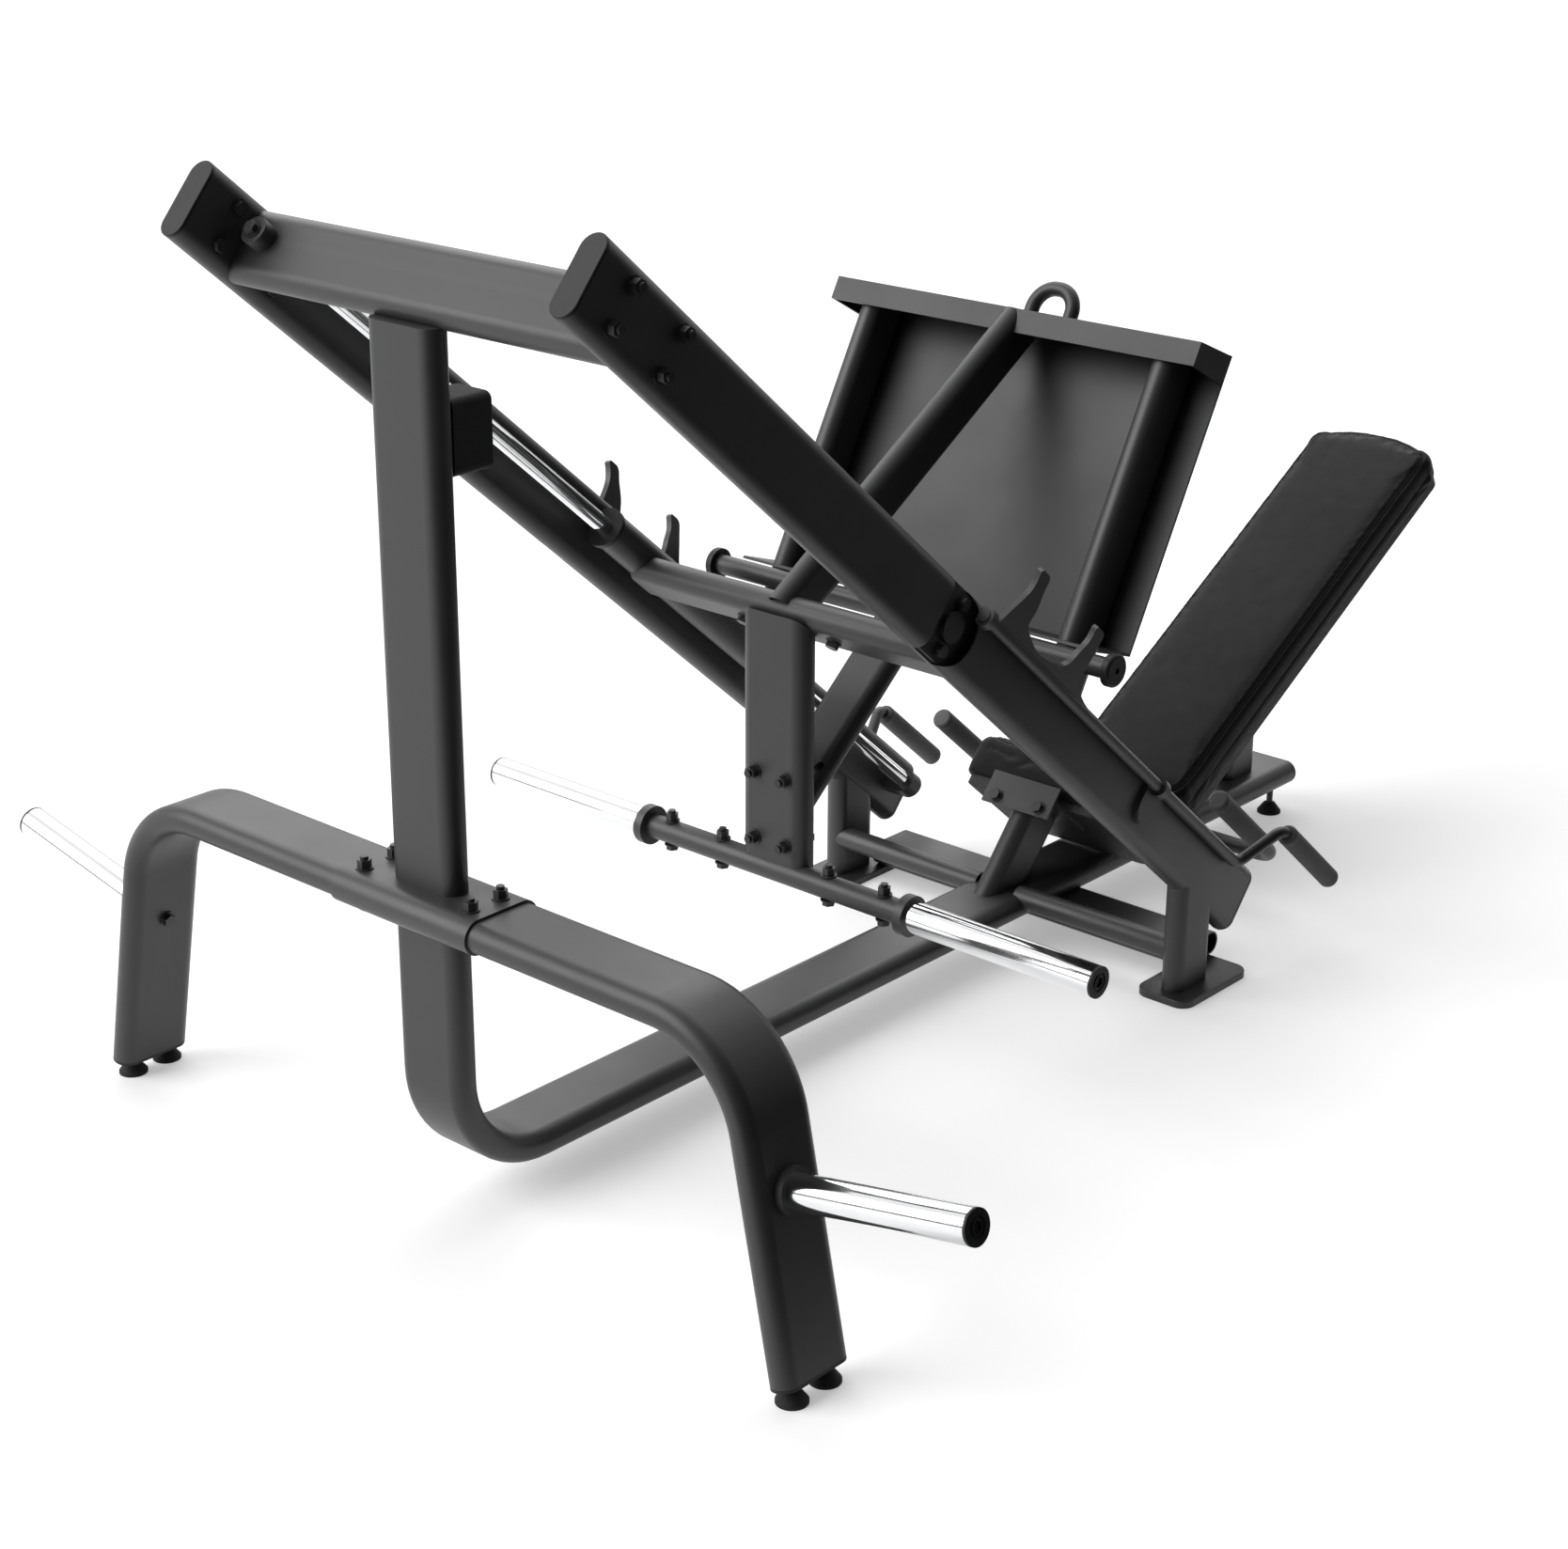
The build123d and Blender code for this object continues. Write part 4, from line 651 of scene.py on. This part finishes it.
def grip(name, start, axis, radius, body):
    """A moulded rubber grip: rounded ends and shallow rings."""
    core = radius - GRIP_ROUND
    turns = [math.pi / 2 * k / ROUND_STEPS for k in range(ROUND_STEPS + 1)]
    profile = [(0.0, 0.0)]
    for turn in turns:
        profile.append((GRIP_ROUND * (1 - math.cos(turn)), core + GRIP_ROUND * math.sin(turn)))
    for k in range(1, GRIP_RINGS):
        along = RING_END + (GRIP_LENGTH - 2 * RING_END) * k / GRIP_RINGS
        profile.append((along - RING_HALF, radius - RING_EDGE))
        profile.append((along, radius - RING_DEPTH))
        profile.append((along + RING_HALF, radius - RING_EDGE))
    for turn in turns:
        along = GRIP_LENGTH - GRIP_ROUND + GRIP_ROUND * math.sin(turn)
        profile.append((along, core + GRIP_ROUND * math.cos(turn)))
    profile.append((GRIP_LENGTH, 0.0))
    return lathe(name, start, axis, profile, grip_rubber, body)


for side, word in ((1, "right"), (-1, "left")):
    start = on_slope(side * SEAT_GRIP_X_MM, SEAT_GRIP_S_MM, SEAT_GRIP_H_MM)
    grip(f"seat_grip_{word}", start, DOWN, SEAT_GRIP_R, "frame")
    rise = (RIGHT * side * math.sin(LEVER_TILT) + OFF * math.cos(LEVER_TILT)) * LEVER_RISE_MM * MM
    tip = on_slope(side * LEVER_X_MM, LEVER_TIP_S_MM, LEVER_H_MM) + rise
    lever = grip(f"lever_handle_{word}", tip, -DOWN, LEVER_GRIP_R, f"lever_{word}")
    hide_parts(f"lever_grip_{word}")
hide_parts("handle_grips")

# ---------------------------------------------------------------- stage
FLOOR_HALF = 30.0
FLOOR_PALE, FLOOR_DARK = (0.90, 0.90, 0.90), (0.05, 0.05, 0.05)
FLOOR_DARK_FROM, FLOOR_DARK_TO = 0.65, 1.15  # x between which indirect rays see it darken
FLOOR_GLOW = 0.40  # for rays that the picture shows


def light_path(tree, kind):
    return tree.nodes.new("ShaderNodeLightPath").outputs[kind]


def seen_rays(tree):
    """1 for rays that the picture shows directly, in a reflection or through glass, otherwise 0."""
    seen = light_path(tree, "Is Camera Ray")
    for kind in ("Is Glossy Ray", "Is Transmission Ray"):
        seen = maths(tree, "MAXIMUM", seen, light_path(tree, kind))
    return seen


def add_floor():
    """A pale floor that camera rays see as it is, and other rays darker on the right."""
    h = FLOOR_HALF
    mesh = bpy.data.meshes.new("floor")
    mesh.from_pydata([(-h, -h, 0), (h, -h, 0), (h, h, 0), (-h, h, 0)], [], [(0, 1, 2, 3)])
    floor = link("floor", mesh)
    material, tree, shader = new_material("pale_floor")
    split = tree.nodes.new("ShaderNodeSeparateXYZ")
    tree.links.new(object_coordinates(tree), split.inputs["Vector"])
    rightness = remap(tree, split.outputs["X"], FLOOR_DARK_FROM, FLOOR_DARK_TO, 0.0, 1.0)
    tone = tree.nodes.new("ShaderNodeMix")
    tone.data_type = "RGBA"
    tree.links.new(light_path(tree, "Is Camera Ray"), tone.inputs["Factor"])
    tree.links.new(ramp(tree, rightness, ((0.0, FLOOR_PALE), (1.0, FLOOR_DARK))), tone.inputs["A"])
    tone.inputs["B"].default_value = (*FLOOR_PALE, 1)
    tree.links.new(tone.outputs["Result"], shader.inputs["Base Color"])
    shader.inputs["Roughness"].default_value = 0.9
    shader.inputs["Specular IOR Level"].default_value = 0.1
    tree.links.new(tone.outputs["Result"], shader.inputs["Emission Color"])
    glow = remap(tree, seen_rays(tree), 0.0, 1.0, 0.0, FLOOR_GLOW)
    tree.links.new(glow, shader.inputs["Emission Strength"])
    mesh.materials.append(material)


add_floor()

# ---------------------------------------------------------------- light
FILL = 0.50  # the sky's strength for the light that it casts
RIGHT_SKY = 0.94, -0.34, 0.0
RIGHT_FROM, RIGHT_TO, RIGHT_DARK = -0.15, 0.55, 0.05
# Sine of the height above the horizon, and the tone there: a dark band above the skyline.
SKYLINE = (0.0, (1, 1, 1)), (0.004, (0.10,) * 3), (0.075, (0.16,) * 3), (0.10, (1, 1, 1))
SUNS = {  # direction towards it, strength, width in degrees
    "soft_back_left": ((-0.50, 0.50, 0.70), 1.2, 60),
    "soft_front_left": ((-0.48, -0.70, 0.52), 2.2, 50)}


def mix_numbers(tree, factor, low, high):
    """Mix two numbers or sockets by a factor socket."""
    node = tree.nodes.new("ShaderNodeMix")
    tree.links.new(factor, node.inputs["Factor"])
    for key, value in (("A", low), ("B", high)):
        if isinstance(value, float):
            node.inputs[key].default_value = value
        else:
            tree.links.new(value, node.inputs[key])
    return node.outputs["Result"]


def add_world():
    """White where the picture shows it; elsewhere a studio that is darker on the right."""
    world = bpy.data.worlds.new("studio")
    bpy.context.scene.world = world
    world.use_nodes = True
    tree = world.node_tree
    background = tree.nodes["Background"]
    background.inputs["Color"].default_value = (1, 1, 1, 1)
    direction = tree.nodes.new("ShaderNodeTexCoord").outputs["Generated"]
    split = tree.nodes.new("ShaderNodeSeparateXYZ")
    tree.links.new(direction, split.inputs["Vector"])
    toward_right = tree.nodes.new("ShaderNodeVectorMath")
    toward_right.operation = "DOT_PRODUCT"
    toward_right.inputs[1].default_value = RIGHT_SKY
    tree.links.new(direction, toward_right.inputs[0])
    shaded = remap(tree, toward_right.outputs["Value"], RIGHT_FROM, RIGHT_TO, 1.0, RIGHT_DARK)
    studio = maths(tree, "MULTIPLY", shaded, ramp(tree, split.outputs["Z"], SKYLINE))
    strength = mix_numbers(tree, light_path(tree, "Is Glossy Ray"), FILL, 1.0)
    lit = maths(tree, "MULTIPLY", strength, studio)
    through = light_path(tree, "Is Transmission Ray")
    backdrop = maths(tree, "MAXIMUM", light_path(tree, "Is Camera Ray"), through)
    tree.links.new(mix_numbers(tree, backdrop, lit, 1.0), background.inputs["Strength"])


def add_suns():
    for name, (toward, energy, width) in SUNS.items():
        data = bpy.data.lights.new(name, "SUN")
        data.energy = energy
        data.angle = math.radians(width)
        link(name, data).rotation_euler = Vector(toward).to_track_quat("Z", "Y").to_euler()


add_world()
add_suns()

# ---------------------------------------------------------------- camera
# Fitted to the photograph: its size in pixels, focal length, place and directions.
PHOTO_WIDTH_PX, FOCAL_PX, SENSOR_MM = 1668, 3102.837, 36.0
CAMERA_MM = 2844.649, -2480.466, 2149.834
CAMERA_RIGHT = Vector((0.7487121, 0.66288288, 0.00405999))
CAMERA_UP = Vector((-0.24404431, 0.26993804, 0.9314375))
CAMERA_AHEAD = Vector((-0.61633803, 0.69836934, -0.36387868))

camera_data = bpy.data.cameras.new("camera")
camera_data.sensor_fit = "HORIZONTAL"
camera_data.sensor_width = SENSOR_MM
camera_data.lens = FOCAL_PX / PHOTO_WIDTH_PX * SENSOR_MM
camera_data.clip_end = 100.0
camera = link("camera", camera_data)
facing = Matrix((CAMERA_RIGHT, CAMERA_UP, -CAMERA_AHEAD)).transposed().to_4x4()
camera.matrix_world = Matrix.Translation(level(*CAMERA_MM)) @ facing
bpy.context.scene.camera = camera

bpy.context.scene.view_settings.view_transform = "Standard"
